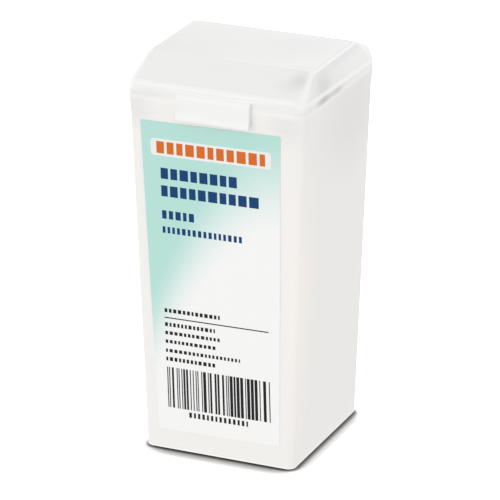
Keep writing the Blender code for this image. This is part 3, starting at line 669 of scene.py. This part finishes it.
# %% [markdown]
# The outermost floss shows as separate turns, and the held stretch as a twisted yarn. Both follow
# a path, which is what Geometry Nodes are good at. Each tree has named inputs for its sizes and
# ends in Realize Instances and Set Material, and the result is kept as a plain mesh.

# %% Helpers for nodes of any kind, and for geometry trees


def add_node(tree, kind, inputs=None, **settings):
    """Adds one node, sets its options, fills or links its inputs, and returns its outputs."""
    node = tree.nodes.new(kind)
    for option, value in settings.items():
        setattr(node, option, value)
    for socket, value in (inputs or {}).items():
        if isinstance(value, bpy.types.NodeSocket):
            tree.links.new(value, node.inputs[socket])
        else:
            node.inputs[socket].default_value = value
    return node.outputs


def maths(tree, operation, *values):
    """One step of arithmetic, on numbers and sockets."""
    return add_node(tree, "ShaderNodeMath", dict(enumerate(values)), operation=operation)[0]


def vectors(tree, operation, *values, result="Vector"):
    """One step of arithmetic on vectors."""
    return add_node(tree, "ShaderNodeVectorMath", dict(enumerate(values)), operation=operation)[result]


def geometry_tree(name, sizes):
    """A new tree and what goes into it: a geometry, a finish, and one number for each named size."""
    tree = bpy.data.node_groups.new(name, "GeometryNodeTree")
    add_socket = tree.interface.new_socket
    add_socket("Geometry", in_out="INPUT", socket_type="NodeSocketGeometry")
    add_socket("Finish", in_out="INPUT", socket_type="NodeSocketMaterial")
    for title, value in sizes.items():
        kind = "NodeSocketInt" if isinstance(value, int) else "NodeSocketFloat"
        add_socket(title, in_out="INPUT", socket_type=kind).default_value = value
    add_socket("Geometry", in_out="OUTPUT", socket_type="NodeSocketGeometry")
    return tree, add_node(tree, "NodeGroupInput")


def tube(tree, path, section):
    """A closed skin with one section all along a path."""
    curves = {"Curve": path, "Profile Curve": section, "Fill Caps": True}
    return add_node(tree, "GeometryNodeCurveToMesh", curves)[0]


def end_tree(tree, given, made):
    """Realizes what the tree made, gives it the finish, and sends it out."""
    real = add_node(tree, "GeometryNodeRealizeInstances", {0: made})[0]
    finished = add_node(tree, "GeometryNodeSetMaterial", {"Geometry": real, "Material": given["Finish"]})[0]
    add_node(tree, "NodeGroupOutput", {0: finished})


def grow(name, data, tree, finish):
    """Runs a tree on a mesh or curve, and keeps what it makes as a plain mesh."""
    seed = new_object("seed", data)
    modifier = seed.modifiers.new(tree.name, "NODES")
    modifier.node_group = tree
    for item in tree.interface.items_tree:
        if item.in_out == "INPUT" and item.name == "Finish":
            modifier[item.identifier] = finish
    bpy.context.view_layer.update()
    graph = bpy.context.evaluated_depsgraph_get()
    mesh = bpy.data.meshes.new_from_object(seed.evaluated_get(graph), depsgraph=graph)
    bpy.data.objects.remove(seed, do_unlink=True)
    return new_object(name, mesh)


# %% [markdown]
# Colours are written as they would be picked from a screen, in sRGB hex, and one function turns
# them to the linear values that a renderer adds and multiplies. The finishes share a few kinds of
# node: a noise, a mix of two colours, a number that runs from 0 as another changes, and a bump.

# %% Colours and finishes
SHADER, MIX_A, MIX_B, MIX_RESULT = "Principled BSDF", 6, 7, 2
PLASTIC_IOR = 1.49


def linear(colour):
    """An sRGB hex colour as linear red, green, blue and alpha."""
    channels = [int(colour[i : i + 2], 16) / 255 for i in (0, 2, 4)]
    return (*[c / 12.92 if c <= 0.04045 else ((c + 0.055) / 1.055) ** 2.4 for c in channels], 1)


def new_finish(name, settings):
    """A material with plain settings, its tree, and the socket that tells where a point lies."""
    material = bpy.data.materials.new(name)
    material.use_nodes = True
    tree = material.node_tree
    for socket, value in settings.items():
        tree.nodes[SHADER].inputs[socket].default_value = value
    return material, tree, add_node(tree, "ShaderNodeTexCoord")["Object"]


def noise(tree, place, size, detail):
    """A soft random pattern with marks of one size."""
    return add_node(tree, "ShaderNodeTexNoise", {"Vector": place, "Scale": 1 / size, "Detail": detail})[0]


def mixed(tree, share, first, second):
    """A colour between two, each a hex colour or a socket."""
    first, second = [linear(colour) if isinstance(colour, str) else colour for colour in (first, second)]
    colours = {0: share, MIX_A: first, MIX_B: second}
    return add_node(tree, "ShaderNodeMix", colours, data_type="RGBA")[MIX_RESULT]


def ranged(tree, value, start, end, high=1.0, easing="LINEAR"):
    """A number that runs from 0 to high while a value runs from start to end."""
    return add_node(tree, "ShaderNodeMapRange", {
        "Value": value, "From Min": start, "From Max": end, "To Max": high,
    }, interpolation_type=easing)[0]


def paint(tree, colour):
    """Gives the finish its colour."""
    tree.links.new(colour, tree.nodes[SHADER].inputs["Base Color"])


def emboss(tree, height, strength, depth):
    """Gives the finish a fine unevenness."""
    bump = add_node(tree, "ShaderNodeBump", {"Height": height, "Strength": strength, "Distance": depth})[0]
    tree.links.new(bump, tree.nodes[SHADER].inputs["Normal"])


# %% [markdown]
# Natural polypropylene is milky, because its crystals scatter light, and its moulded surface is a fine
# satin. The rounded edges that the lofts marked get a painted highlight: the material mixes a lighter
# colour in by that mark. Both mouldings also get soft patches of painted shade and painted light near a few
# places, and the lid's greyest patches are painted shade of the steel cutter, which stands close behind its
# milky wall.

# %% Moulded natural polypropylene
CLOUD_SIZE, SATIN_GRAIN = 9 * MM, 0.15 * MM
# Colours of painted shade and painted light: the grey of the steel cutter's painted shade, a warm painted
# light, a grey painted shade and a near-white painted light.
PAINTED_CUTTER_SHADE, PAINTED_CORNER_LIGHT, PAINTED_SHADE, PAINTED_LIGHT = "AEADA9", "FFF7F1", "D6D7D8", "FFFFFE"


def satin_grain(tree, place):
    """The very fine spark-eroded surface of the mould, as a bump."""
    emboss(tree, noise(tree, place, SATIN_GRAIN, 2.0), 0.1, 0.01 * MM)


def milky_plastic(name, body, cloud, edge, roughness, painted_shading):
    """Natural polypropylene: faint clouds, patches of painted shade and painted light, painted highlights
    on marked edges, and a satin grain.
    """
    material, tree, place = new_finish(name, {"Roughness": roughness, "IOR": PLASTIC_IOR})
    colour = mixed(tree, noise(tree, place, CLOUD_SIZE, 1.0), body, cloud)
    # Each patch of painted shade or painted light pulls the colour towards its own, most at its middle.
    for centre, reach, strength, shading_colour in painted_shading:
        away = vectors(tree, "SUBTRACT", place, Vector(centre) * MM)
        far = vectors(tree, "LENGTH", vectors(tree, "DIVIDE", away, Vector(reach) * MM), result="Value")
        colour = mixed(tree, ranged(tree, far, 1.0, 0.0, strength, "SMOOTHSTEP"), colour, shading_colour)
    # The painted highlight: the edge mark mixes in the lighter edge colour.
    mark = add_node(tree, "ShaderNodeAttribute", attribute_name="edge")["Fac"]
    paint(tree, mixed(tree, mark, colour, edge))
    satin_grain(tree, place)
    return material


# Each patch of painted shade or painted light has its middle and its reach in millimetres, its strength and
# its colour.
# The case: painted shade along the top of its right wall and near the band's two front corners, and a warm
# painted light down its front right corner.
CASE_PAINTED_SHADING = (
    ((17, 6, 67), (4, 24, 18), 0.45, PAINTED_SHADE),
    ((-17.5, -17.5, 70), (7, 4, 6), 0.4, PAINTED_SHADE),
    ((15, -17.5, 70), (6, 4, 6), 0.3, PAINTED_SHADE),
    ((17.6, -16.5, 30), (4.8, 10, 46), 0.75, PAINTED_CORNER_LIGHT),
)
# The lid: painted light towards the back of its right slope; painted shade along the left of the lip's
# front and over the right of the roof; then painted shade where the steel cutter really stands behind the
# right wall, as it would show through the milky plastic.
LID_PAINTED_SHADING = (
    ((18, 11, 76.5), (4, 16, 5), 0.45, PAINTED_LIGHT),
    ((-16, -18, 71.8), (13, 3, 2.4), 0.5, PAINTED_SHADE),
    ((12, 3, 79), (14, 18, 3), 0.42, PAINTED_SHADE),
    ((18.35, -8.2, 73.1), (1.6, 5.4, 1.3), 0.7, PAINTED_CUTTER_SHADE),
    ((18.35, -2.0, 73.0), (1.6, 5.0, 1.4), 0.5, PAINTED_CUTTER_SHADE),
    ((17.9, -7.6, 75.5), (2.6, 5.4, 3.8), 0.26, PAINTED_CUTTER_SHADE),
    ((15.4, -12.4, 77.9), (3.2, 3.0, 2.4), 0.26, PAINTED_CUTTER_SHADE),
    ((14.0, -13.9, 77.0), (4.4, 3.0, 2.6), 0.14, PAINTED_CUTTER_SHADE),
    ((14.8, -8.6, 78.9), (3.6, 3.0, 1.6), 0.24, PAINTED_CUTTER_SHADE),
)
# The fourth colour of each finish is its painted highlight on marked edges.
case_plastic = milky_plastic(
    "moulded natural polypropylene, case", "F2F0ED", "F3F1EE", "FDFBF8", 0.42, CASE_PAINTED_SHADING
)
lid_plastic = milky_plastic(
    "moulded natural polypropylene, lid", "EFEFEE", "F0F0EF", "FFFFFE", 0.38, LID_PAINTED_SHADING
)

# %% [markdown]
# The insert is a whiter polypropylene with pigment in it, and the spool a white polystyrene, which
# is harder and a little glossier. Both are plain moulded surfaces with a very fine grain.

# %% Pigmented plastics, steel and floss
FLOW_SIZE, FILAMENT = 5 * MM, 0.12 * MM
BRUSH_LINE, BRUSH_STRETCH = 0.06 * MM, (1.0, 0.04, 1.0)


def pigmented_plastic(name, body, flow, roughness):
    """A white moulding with faint flow marks from its gate."""
    material, tree, place = new_finish(name, {"Roughness": roughness, "IOR": PLASTIC_IOR})
    paint(tree, mixed(tree, noise(tree, place, FLOW_SIZE, 3.0), body, flow))
    satin_grain(tree, place)
    return material


deck_plastic = pigmented_plastic("moulded white polypropylene", "ECECEA", "E6E6E4", 0.4)
spool_plastic = pigmented_plastic("moulded white polystyrene", "E9E9E8", "E3E3E1", 0.28)

steel, tree, place = new_finish("stamped stainless sheet", {"Metallic": 1.0, "Roughness": 0.3})
drawn_out = add_node(tree, "ShaderNodeMapping", {"Vector": place, "Scale": BRUSH_STRETCH})[0]
lines = noise(tree, drawn_out, BRUSH_LINE, 3.0)
paint(tree, mixed(tree, lines, "B4B4B2", "CFCFCE"))
emboss(tree, lines, 0.2, 0.005 * MM)

nylon, tree, place = new_finish(
    "unwaxed nylon floss", {"Roughness": 0.6, "Sheen Weight": 0.3, "IOR": 1.53}
)
filaments = noise(tree, place, FILAMENT, 3.0)
paint(tree, mixed(tree, filaments, "E4E3DD", "F3F2EE"))
emboss(tree, filaments, 0.4, 0.03 * MM)

# %% [markdown]
# The last traverse of floss covers the wound body in touching turns. A spiral curve gets a round
# section one floss wide, and its height and number of turns come from the winding's own size.

# %% The outer turns of floss
TURN_POINTS, SECTION_POINTS, TURN_PITCH = 24, 8, FLOSS * 1.04
turns_low, turns_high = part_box("floss_outer_turns")
turn_radius = turns_high.x - FLOSS / 2
turns_height = turns_high.z - turns_low.z - FLOSS
TURN_COUNT = int(turns_height / TURN_PITCH)

tree, given = geometry_tree("wound floss", {
    "Turns": TURN_COUNT, "Radius": turn_radius, "Height": turns_height, "Foot": turns_low.z + FLOSS / 2,
    "Half Floss": FLOSS / 2,
})
spiral = add_node(tree, "GeometryNodeCurveSpiral", {
    "Resolution": TURN_POINTS, "Rotations": given["Turns"], "Start Radius": given["Radius"],
    "End Radius": given["Radius"], "Height": given["Height"],
})[0]
lift = add_node(tree, "ShaderNodeCombineXYZ", {"Z": given["Foot"]})[0]
raised = add_node(tree, "GeometryNodeTransform", {"Geometry": spiral, "Translation": lift})[0]
section = add_node(tree, "GeometryNodeCurvePrimitiveCircle", {
    "Resolution": SECTION_POINTS, "Radius": given["Half Floss"],
})[0]
end_tree(tree, given, tube(tree, raised, section))
turns = grow("floss_turns", bpy.data.meshes.new("no seed"), tree, nylon)
print(f"outer turns: {TURN_COUNT} of {FLOSS / MM} mm floss, {len(turns.data.polygons)} faces")

# %% [markdown]
# The held stretch of floss leaves the spool, passes its upper flange, rises through the outlet and
# lies in the cutter's notch. A smooth curve is drawn through a few chosen points, and a lobed
# section that turns along it makes the plies of a twisted yarn.

# %% The held strand
TWIST_LENGTH, STRAND_STEP, STRAND_POINTS = 1.6 * MM, 0.1 * MM, 160
PLIES, WAIST = 3, 0.72
TURN_END_ANGLE, TURN_END_ROOM = math.radians(135), 1.8 * MM
APPROACH_SHARE = 0.2
heading = Vector((math.cos(TURN_END_ANGLE), math.sin(TURN_END_ANGLE), 0))
past_flange = heading * (flange_radius + GAP + FLOSS)
last_turn = winding_high.z - TURN_END_ROOM
outlet_foot = Vector((OUTLET.x, OUTLET.y, deck_underside))
notch_z = cutter_high.z - NOTCH_DEPTH + GAP + FLOSS / 2

route = [
    heading * turn_radius + Vector((0, 0, last_turn + FLOSS + GAP)),
    past_flange + Vector((0, 0, flange_high)),
    past_flange + Vector((0, 0, spool_high.z + FLOSS)),
    outlet_foot.lerp(past_flange + Vector((0, 0, spool_high.z)), APPROACH_SHARE),
    outlet_foot,
    Vector((OUTLET.x, OUTLET.y, outlet_mouth)),
    Vector((OUTLET.x + OUTLET_TOP, OUTLET.y, outlet_mouth + OUTLET_BORE)),
    Vector((cutter_high.x / 2, (OUTLET.y + CUTTER_Y) / 2, notch_z)),
    Vector((cutter_high.x + GAP, CUTTER_Y, notch_z)),
]


def smooth_points(route, count):
    """Points on a Catmull-Rom curve through a route."""
    padded = [route[0] * 2 - route[1], *route, route[-1] * 2 - route[-2]]
    points = []
    for share in shares(count - 1):
        place = share * (len(route) - 1)
        span = min(int(place), len(route) - 2)
        t = place - span
        a, b, c, d = padded[span : span + 4]
        bend = (a * 2 - b * 5 + c * 4 - d) * t**2 + (b * 3 - a - c * 3 + d) * t**3
        points.append((b * 2 + (c - a) * t + bend) / 2)
    return points


strand_path = smooth_points(route, STRAND_POINTS)
strand_length = sum((b - a).length for a, b in zip(strand_path, strand_path[1:]))
strand_curve = bpy.data.curves.new("strand", "CURVE")
strand_curve.dimensions = "3D"
spline = strand_curve.splines.new("POLY")
spline.points.add(STRAND_POINTS - 1)
for spot, point in zip(spline.points, strand_path):
    spot.co = (*point, 1)

tree, given = geometry_tree("twisted yarn", {
    "Half Floss": FLOSS / 2, "Twist Length": TWIST_LENGTH, "Step": STRAND_STEP,
})
even = add_node(tree, "GeometryNodeResampleCurve", {
    "Curve": given["Geometry"], "Length": given["Step"],
}, mode="LENGTH")[0]
along = add_node(tree, "GeometryNodeSplineParameter")["Length"]
tilt = maths(tree, "MULTIPLY", maths(tree, "DIVIDE", along, given["Twist Length"]), 2 * math.pi)
twisted = add_node(tree, "GeometryNodeSetCurveTilt", {"Curve": even, "Tilt": tilt})[0]
lobes = add_node(tree, "GeometryNodeCurveStar", {
    "Points": PLIES, "Inner Radius": maths(tree, "MULTIPLY", given["Half Floss"], WAIST),
    "Outer Radius": given["Half Floss"],
})[0]
round_lobes = add_node(tree, "GeometryNodeSubdivideCurve", {"Curve": lobes, "Cuts": 1})[0]
end_tree(tree, given, tube(tree, twisted, round_lobes))
strand = grow("floss_held_strand", strand_curve, tree, nylon)
strand.data.shade_smooth()
print(f"held strand: {strand_length / MM:.1f} mm of floss, {len(strand.data.polygons)} faces")

# %% [markdown]
# The label is printed film on the front wall, set slightly askew, as a hand or a worn machine sets
# it. Everything on it is worked out in the label's own flat coordinates, across and up from its
# middle, and one function lays any such point on the drafted wall.

# %% The label
LABEL_FOOT_Z, LABEL_TOP_Z = 4.4 * MM, CASE_TOP - BAND_HEIGHT - 1.9 * MM
LABEL_HEIGHT = LABEL_TOP_Z - LABEL_FOOT_Z
LABEL_TILT, LABEL_SHIFT = math.radians(1.0), -0.4 * MM
LABEL_GAP, LABEL_THICKNESS, LABEL_RADIUS = 0.02 * MM, 0.06 * MM, 0.3 * MM
TOP_MARGIN, FOOT_MARGIN = 3.7 * MM, 3.05 * MM


def on_label(across, up, outwards):
    """A point of the label's plane, turned with it and laid on the tapered front wall."""
    x = LABEL_SHIFT + across * math.cos(LABEL_TILT) - up * math.sin(LABEL_TILT)
    z = LABEL_FOOT_Z + LABEL_HEIGHT / 2 + up * math.cos(LABEL_TILT) + across * math.sin(LABEL_TILT)
    return Vector((x, -wall_at(z)[1] - outwards, z))


def laid_film(name, outline, back, front):
    """A thin closed sheet on the label, from an outline in its flat coordinates."""
    return loft(name, [[on_label(*pair, depth) for pair in outline] for depth in (back, front)])


half_top, half_foot = wall_at(LABEL_TOP_Z)[0] - TOP_MARGIN, wall_at(LABEL_FOOT_Z)[0] - FOOT_MARGIN
label_outline = filleted([
    (-half_foot, -LABEL_HEIGHT / 2), (half_foot, -LABEL_HEIGHT / 2),
    (half_top, LABEL_HEIGHT / 2), (-half_top, LABEL_HEIGHT / 2),
], LABEL_RADIUS, 6)
label_front = LABEL_GAP + LABEL_THICKNESS
label = laid_film("label_film", label_outline, LABEL_GAP, label_front)
print(f"label: {half_top * 2 / MM:.1f} mm wide at the top, {LABEL_HEIGHT / MM:.1f} mm tall")

# %% [markdown]
# The film is white with a soft teal wash over its upper left. The wash ends along a slanting curve,
# so its edge is worked out from how far across and how far down a point lies, with a little noise
# so that it looks printed in fine dots and not painted.

# %% The label's film and inks
WASH_LEVEL, WASH_REACH, WASH_CURVE, WASH_SOFTNESS = 0.15, 0.59, 1.95, 0.175
DOT_SIZE, DOT_RAGGED, RIPPLE_SIZE = 0.35 * MM, 0.03, 6 * MM

film, tree, place = new_finish("printed white film", {"Roughness": 0.38, "IOR": 1.5})
flat = add_node(tree, "ShaderNodeSeparateXYZ", {0: place})
leftwards = ranged(tree, flat["X"], half_top, -half_top)
downwards = ranged(tree, flat["Z"], LABEL_TOP_Z, LABEL_FOOT_Z)
curved = maths(tree, "POWER", leftwards, WASH_CURVE)
edge = maths(tree, "MULTIPLY_ADD", curved, WASH_REACH, WASH_LEVEL)
ragged = maths(tree, "MULTIPLY_ADD", noise(tree, place, DOT_SIZE, 1.0), DOT_RAGGED, -DOT_RAGGED / 2)
past = maths(tree, "ADD", maths(tree, "SUBTRACT", downwards, edge), ragged)
wash = ranged(tree, past, WASH_SOFTNESS, -WASH_SOFTNESS, easing="SMOOTHSTEP")
paint(tree, mixed(tree, wash, "F6F6F5", "B5E0D7"))
emboss(tree, noise(tree, place, RIPPLE_SIZE, 1.0), 0.3, 0.02 * MM)


def ink(name, solid, thin):
    """A printing ink that lies a little thinner in places."""
    material, tree, place = new_finish(name, {"Roughness": 0.6, "IOR": 1.25})
    paint(tree, mixed(tree, noise(tree, place, DOT_SIZE, 2.0), solid, thin))
    return material


orange_ink = ink("orange printing ink", "D4641F", "DC7630")
white_ink = ink("white printing ink", "F2F1EF", "ECECEA")
blue_ink = ink("blue printing ink", "0C3B6C", "164879")
black_ink = ink("black printing ink", "131415", "202224")

# %% [markdown]
# What is printed is plain: rows of small bars that stand for lines of print, the top row on a white
# band, and also a ruled line and a block of upright bars. Each stroke is a point with a size, and
# one Geometry Nodes tree puts a box of ink on every point. That is done flat, and then the strokes
# are laid on the label together.

# %% The strokes
INK, BAND_INK = 0.03 * MM, 0.012 * MM
BAND_HALF, BAND_FOOT, BAND_TOP = 12.1 * MM, 25.2 * MM, 28.0 * MM
BAND_RIM, BAND_ROUND = 0.3 * MM, 0.8 * MM
# Each row has its left, right, foot and top, its shortest and longest bar, and the space between.
BLUE_ROWS = (
    (-10.5, 5.3, 20.3, 22.5, 1.3, 2.0, 0.5), (-10.5, 10.7, 16.75, 18.95, 1.3, 2.0, 0.5),
    (-10.5, -3.3, 12.2, 13.9, 0.7, 1.1, 0.5), (-10.5, 6.4, 9.3, 10.6, 0.5, 0.8, 0.45),
)
ORANGE_ROW = (-11.2, 11.2, 25.4, 27.8, 1.0, 2.0, 0.55)
LOWEST_ROW = (-6.2, 6.2, -28.6, -27.5, 0.4, 0.55, 0.45)
RULED_LINE = (0.1, -8.2, 21.8, 0.22)
# The rows of small print differ only in their foot, top and right.
SMALL_LEFT, SMALL_BARS = -10.7, (0.4, 0.7, 0.35)
SMALL_ROWS = (
    (-7.1, -6.3, 0.9), (-10.0, -9.2, -0.2), (-11.7, -11.0, 0.9), (-13.5, -12.8, 0.1), (-15.4, -14.7, 4.9),
    (-17.2, -16.4, -0.3),
)
BARS_LEFT, BARS_RIGHT, BARS_MIDDLE, BARS_HEIGHT = -10.6, 10.9, -22.75, 8.5
BAR_WIDTHS = (0.2, 0.2, 0.4, 0.6)
rng = random.Random(7)


def dashes(left, right, foot, top, shortest, longest, space):
    """Bars of uneven width in one row, all of one height."""
    strokes = []
    x = left
    while x < right - shortest / 2:
        end = min(x + rng.uniform(shortest, longest), right)
        strokes.append(((x + end) / 2, (foot + top) / 2, end - x, top - foot))
        x = end + space
    return strokes


blue_strokes = [stroke for row in BLUE_ROWS for stroke in dashes(*row)]
orange_strokes = dashes(*ORANGE_ROW)
black_strokes = [RULED_LINE] + dashes(*LOWEST_ROW)
for foot, top, right in SMALL_ROWS:
    black_strokes += dashes(SMALL_LEFT, right, foot, top, *SMALL_BARS)
x = BARS_LEFT
while x < BARS_RIGHT:
    thickness = rng.choice(BAR_WIDTHS)
    black_strokes.append((x + thickness / 2, BARS_MIDDLE, thickness, BARS_HEIGHT))
    x += thickness + rng.choice(BAR_WIDTHS)

tree, given = geometry_tree("printed strokes", {"Ink": INK})
mould = add_node(tree, "GeometryNodeMeshCube", {"Size": (1.0, 1.0, 1.0)})[0]
size = add_node(tree, "GeometryNodeInputNamedAttribute", {"Name": "size"}, data_type="FLOAT_VECTOR")[0]
thick = add_node(tree, "ShaderNodeCombineXYZ", {"X": 1.0, "Y": 1.0, "Z": given["Ink"]})[0]
placed = add_node(tree, "GeometryNodeInstanceOnPoints", {
    "Points": given["Geometry"], "Instance": mould, "Scale": vectors(tree, "MULTIPLY", size, thick),
})[0]
end_tree(tree, given, placed)


def printed_strokes(name, strokes, finish):
    """Boxes of ink for strokes given in millimetres, laid on the label."""
    mesh = bpy.data.meshes.new(name)
    mesh.from_pydata([(x * MM, y * MM, 0) for x, y, _, _ in strokes], [], [])
    sizes = mesh.attributes.new("size", "FLOAT_VECTOR", "POINT")
    sizes.data.foreach_set("vector", [side for _, _, w, h in strokes for side in (w * MM, h * MM, 1)])
    piece = grow(name, mesh, tree, finish)
    for vertex in piece.data.vertices:
        vertex.co = on_label(vertex.co.x, vertex.co.y, label_front + vertex.co.z)
    return piece


blue_print = printed_strokes("blue_print", blue_strokes, blue_ink)
black_print = printed_strokes("black_print", black_strokes, black_ink)

half, foot, top = BAND_HALF + BAND_RIM, BAND_FOOT - BAND_RIM, BAND_TOP + BAND_RIM
band_outline = filleted([(-half, foot), (half, foot), (half, top), (-half, top)], BAND_ROUND, 8)
white_print = laid_film("white_print", band_outline, label_front - INK, label_front + BAND_INK)
orange_print = printed_strokes("orange_print", orange_strokes, orange_ink)
print(f"print: {len(blue_strokes)} blue strokes and {len(black_strokes)} black ones")

# %% [markdown]
# The studio is white all round, so the milky plastic is lit from everywhere, and one large soft lamp from
# the front left tells the faces apart. The box stands on a lit table, which lights its walls from below. To
# the camera the table is pure white, except close to the box, where a painted shadow lies: a dark line at
# its foot within a wider, paler rim. The table's finish paints it from ambient occlusion, not from the
# lamps, and the occlusion's normal leans back, so the painted shadow leans out to the front.

# %% The lit table
FLOOR_SIZE, SHADOW_LINE, SHADOW_RIM = 4000 * MM, 1.25 * MM, 6.0 * MM
SHADOW_DEPTH, SHADOW_LEAN = 2.3, (-0.3, 0.7, 1.0)
SHADOW_SAMPLES = 16
FLOOR_SHOWN, TABLE_LIGHT, TABLE_MIRRORED = 3.0, 0.84, 1.0


def emptied_tree(owner):
    """The node tree of a material or world, with nothing in it."""
    owner.use_nodes = True
    owner.node_tree.nodes.clear()
    return owner.node_tree


mesh = bmesh.new()
bmesh.ops.create_grid(mesh, x_segments=1, y_segments=1, size=FLOOR_SIZE / 2)
floor = add_piece("floor", mesh)
table = bpy.data.materials.new("white light table")
tree = emptied_tree(table)
rays = add_node(tree, "ShaderNodeLightPath")
mirrored = maths(tree, "ADD", rays["Is Glossy Ray"], rays["Is Transmission Ray"])
level = add_node(tree, "ShaderNodeMix", {0: mirrored, 2: TABLE_LIGHT, 3: TABLE_MIRRORED})[0]
lit = add_node(tree, "ShaderNodeEmission", {"Strength": level})[0]
# The painted shadow: a short and a long ambient occlusion, looking about a normal that leans back and to
# the left, darken what the camera sees of the table.
leaning = vectors(tree, "NORMALIZE", SHADOW_LEAN)
line, rim = [
    add_node(tree, "ShaderNodeAmbientOcclusion", {
        "Distance": reach, "Normal": leaning,
    }, samples=SHADOW_SAMPLES)["AO"]
    for reach in (SHADOW_LINE, SHADOW_RIM)
]
depth = maths(tree, "POWER", maths(tree, "MULTIPLY", line, rim), SHADOW_DEPTH)
bright = maths(tree, "MULTIPLY", depth, FLOOR_SHOWN)
shaded = add_node(tree, "ShaderNodeBsdfDiffuse", {"Color": bright})[0]
face = add_node(tree, "ShaderNodeMixShader", {0: rays["Is Camera Ray"], 1: lit, 2: shaded})[0]
add_node(tree, "ShaderNodeOutputMaterial", {"Surface": face})
floor.data.materials.append(table)
floor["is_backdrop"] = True

# %% The world and the lamp
WORLD_SEEN, WORLD_STRENGTH = 1.0, 0.985
WORLD_LEAN = (0.03, 0.0, -0.12)
LAMP_POWER, LAMP_SIZE, LAMP_DISTANCE = 2.0, 600 * MM, 1200 * MM
LAMP_AZIMUTH, LAMP_ELEVATION = math.radians(-30), math.radians(10)

world = bpy.data.worlds.new("white studio")
bpy.context.scene.world = world
tree = emptied_tree(world)
rays = add_node(tree, "ShaderNodeLightPath")
seen = maths(tree, "ADD", rays["Is Camera Ray"], rays["Is Glossy Ray"])
shown = maths(tree, "ADD", seen, rays["Is Transmission Ray"])
place = add_node(tree, "ShaderNodeTexCoord")["Generated"]
lean = vectors(tree, "DOT_PRODUCT", place, WORLD_LEAN, result="Value")
level = maths(tree, "ADD", lean, WORLD_STRENGTH)
strength = add_node(tree, "ShaderNodeMix", {0: shown, 2: level, 3: WORLD_SEEN})[0]
sky = add_node(tree, "ShaderNodeBackground", {"Color": (1, 1, 1, 1), "Strength": strength})[0]
add_node(tree, "ShaderNodeOutputWorld", {"Surface": sky})

lamp_data = bpy.data.lights.new("soft lamp", "AREA")
lamp_data.energy, lamp_data.size = LAMP_POWER, LAMP_SIZE
lamp = new_object("soft lamp", lamp_data)
towards = direction(LAMP_AZIMUTH, LAMP_ELEVATION)
lamp.location = aim + towards * LAMP_DISTANCE
lamp.rotation_euler = towards.to_track_quat("Z", "Y").to_euler()

bpy.context.scene.view_settings.view_transform = "Standard"

# %% [markdown]
# Last, every piece gets its finish and the body that it moves with, and each CAD node that a piece stands
# for is hidden. The hinge web gets the case's finish and stays where it was made, and the CAD hinge is
# hidden.

# %% Finishes and bodies
for piece, finish in ((hinge, case_plastic), (white_print, white_ink)):
    piece.data.materials.append(finish)
for piece, finish, body, node, slot in (
    (case, case_plastic, "box", "case", "case_plastic"),
    (deck, deck_plastic, "box", "dispensing_deck", "deck_plastic"),
    (cutter, steel, "box", "cutter", "cutter_steel"),
    (strand, nylon, "box", "floss_strand", "floss_nylon"),
    (label, film, "box", "front_label", "label_film"),
    (lid, lid_plastic, "lid", "lid", "lid_plastic"),
    (spool, spool_plastic, "spool", "spool", "spool_plastic"),
    (winding, nylon, "spool", "floss_winding", "floss_nylon"),
    (turns, nylon, "spool", "floss_outer_turns", "floss_nylon"),
):
    piece.data.materials.clear()
    piece.data.materials.append(finish)
    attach(piece, body)
    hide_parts(node)
for piece in (white_print, orange_print, blue_print, black_print):
    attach(piece, "box")
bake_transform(hinge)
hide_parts("living_hinge")

# %% The sizes, and the end
visual_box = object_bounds()
sizes = {"cad": [list(corner) for corner in cad_box], "visual": [list(corner) for corner in visual_box]}
for name, corners in sizes.items():
    print(f"{name} box, in mm:", [[round(v / MM, 2) for v in corner] for corner in corners])
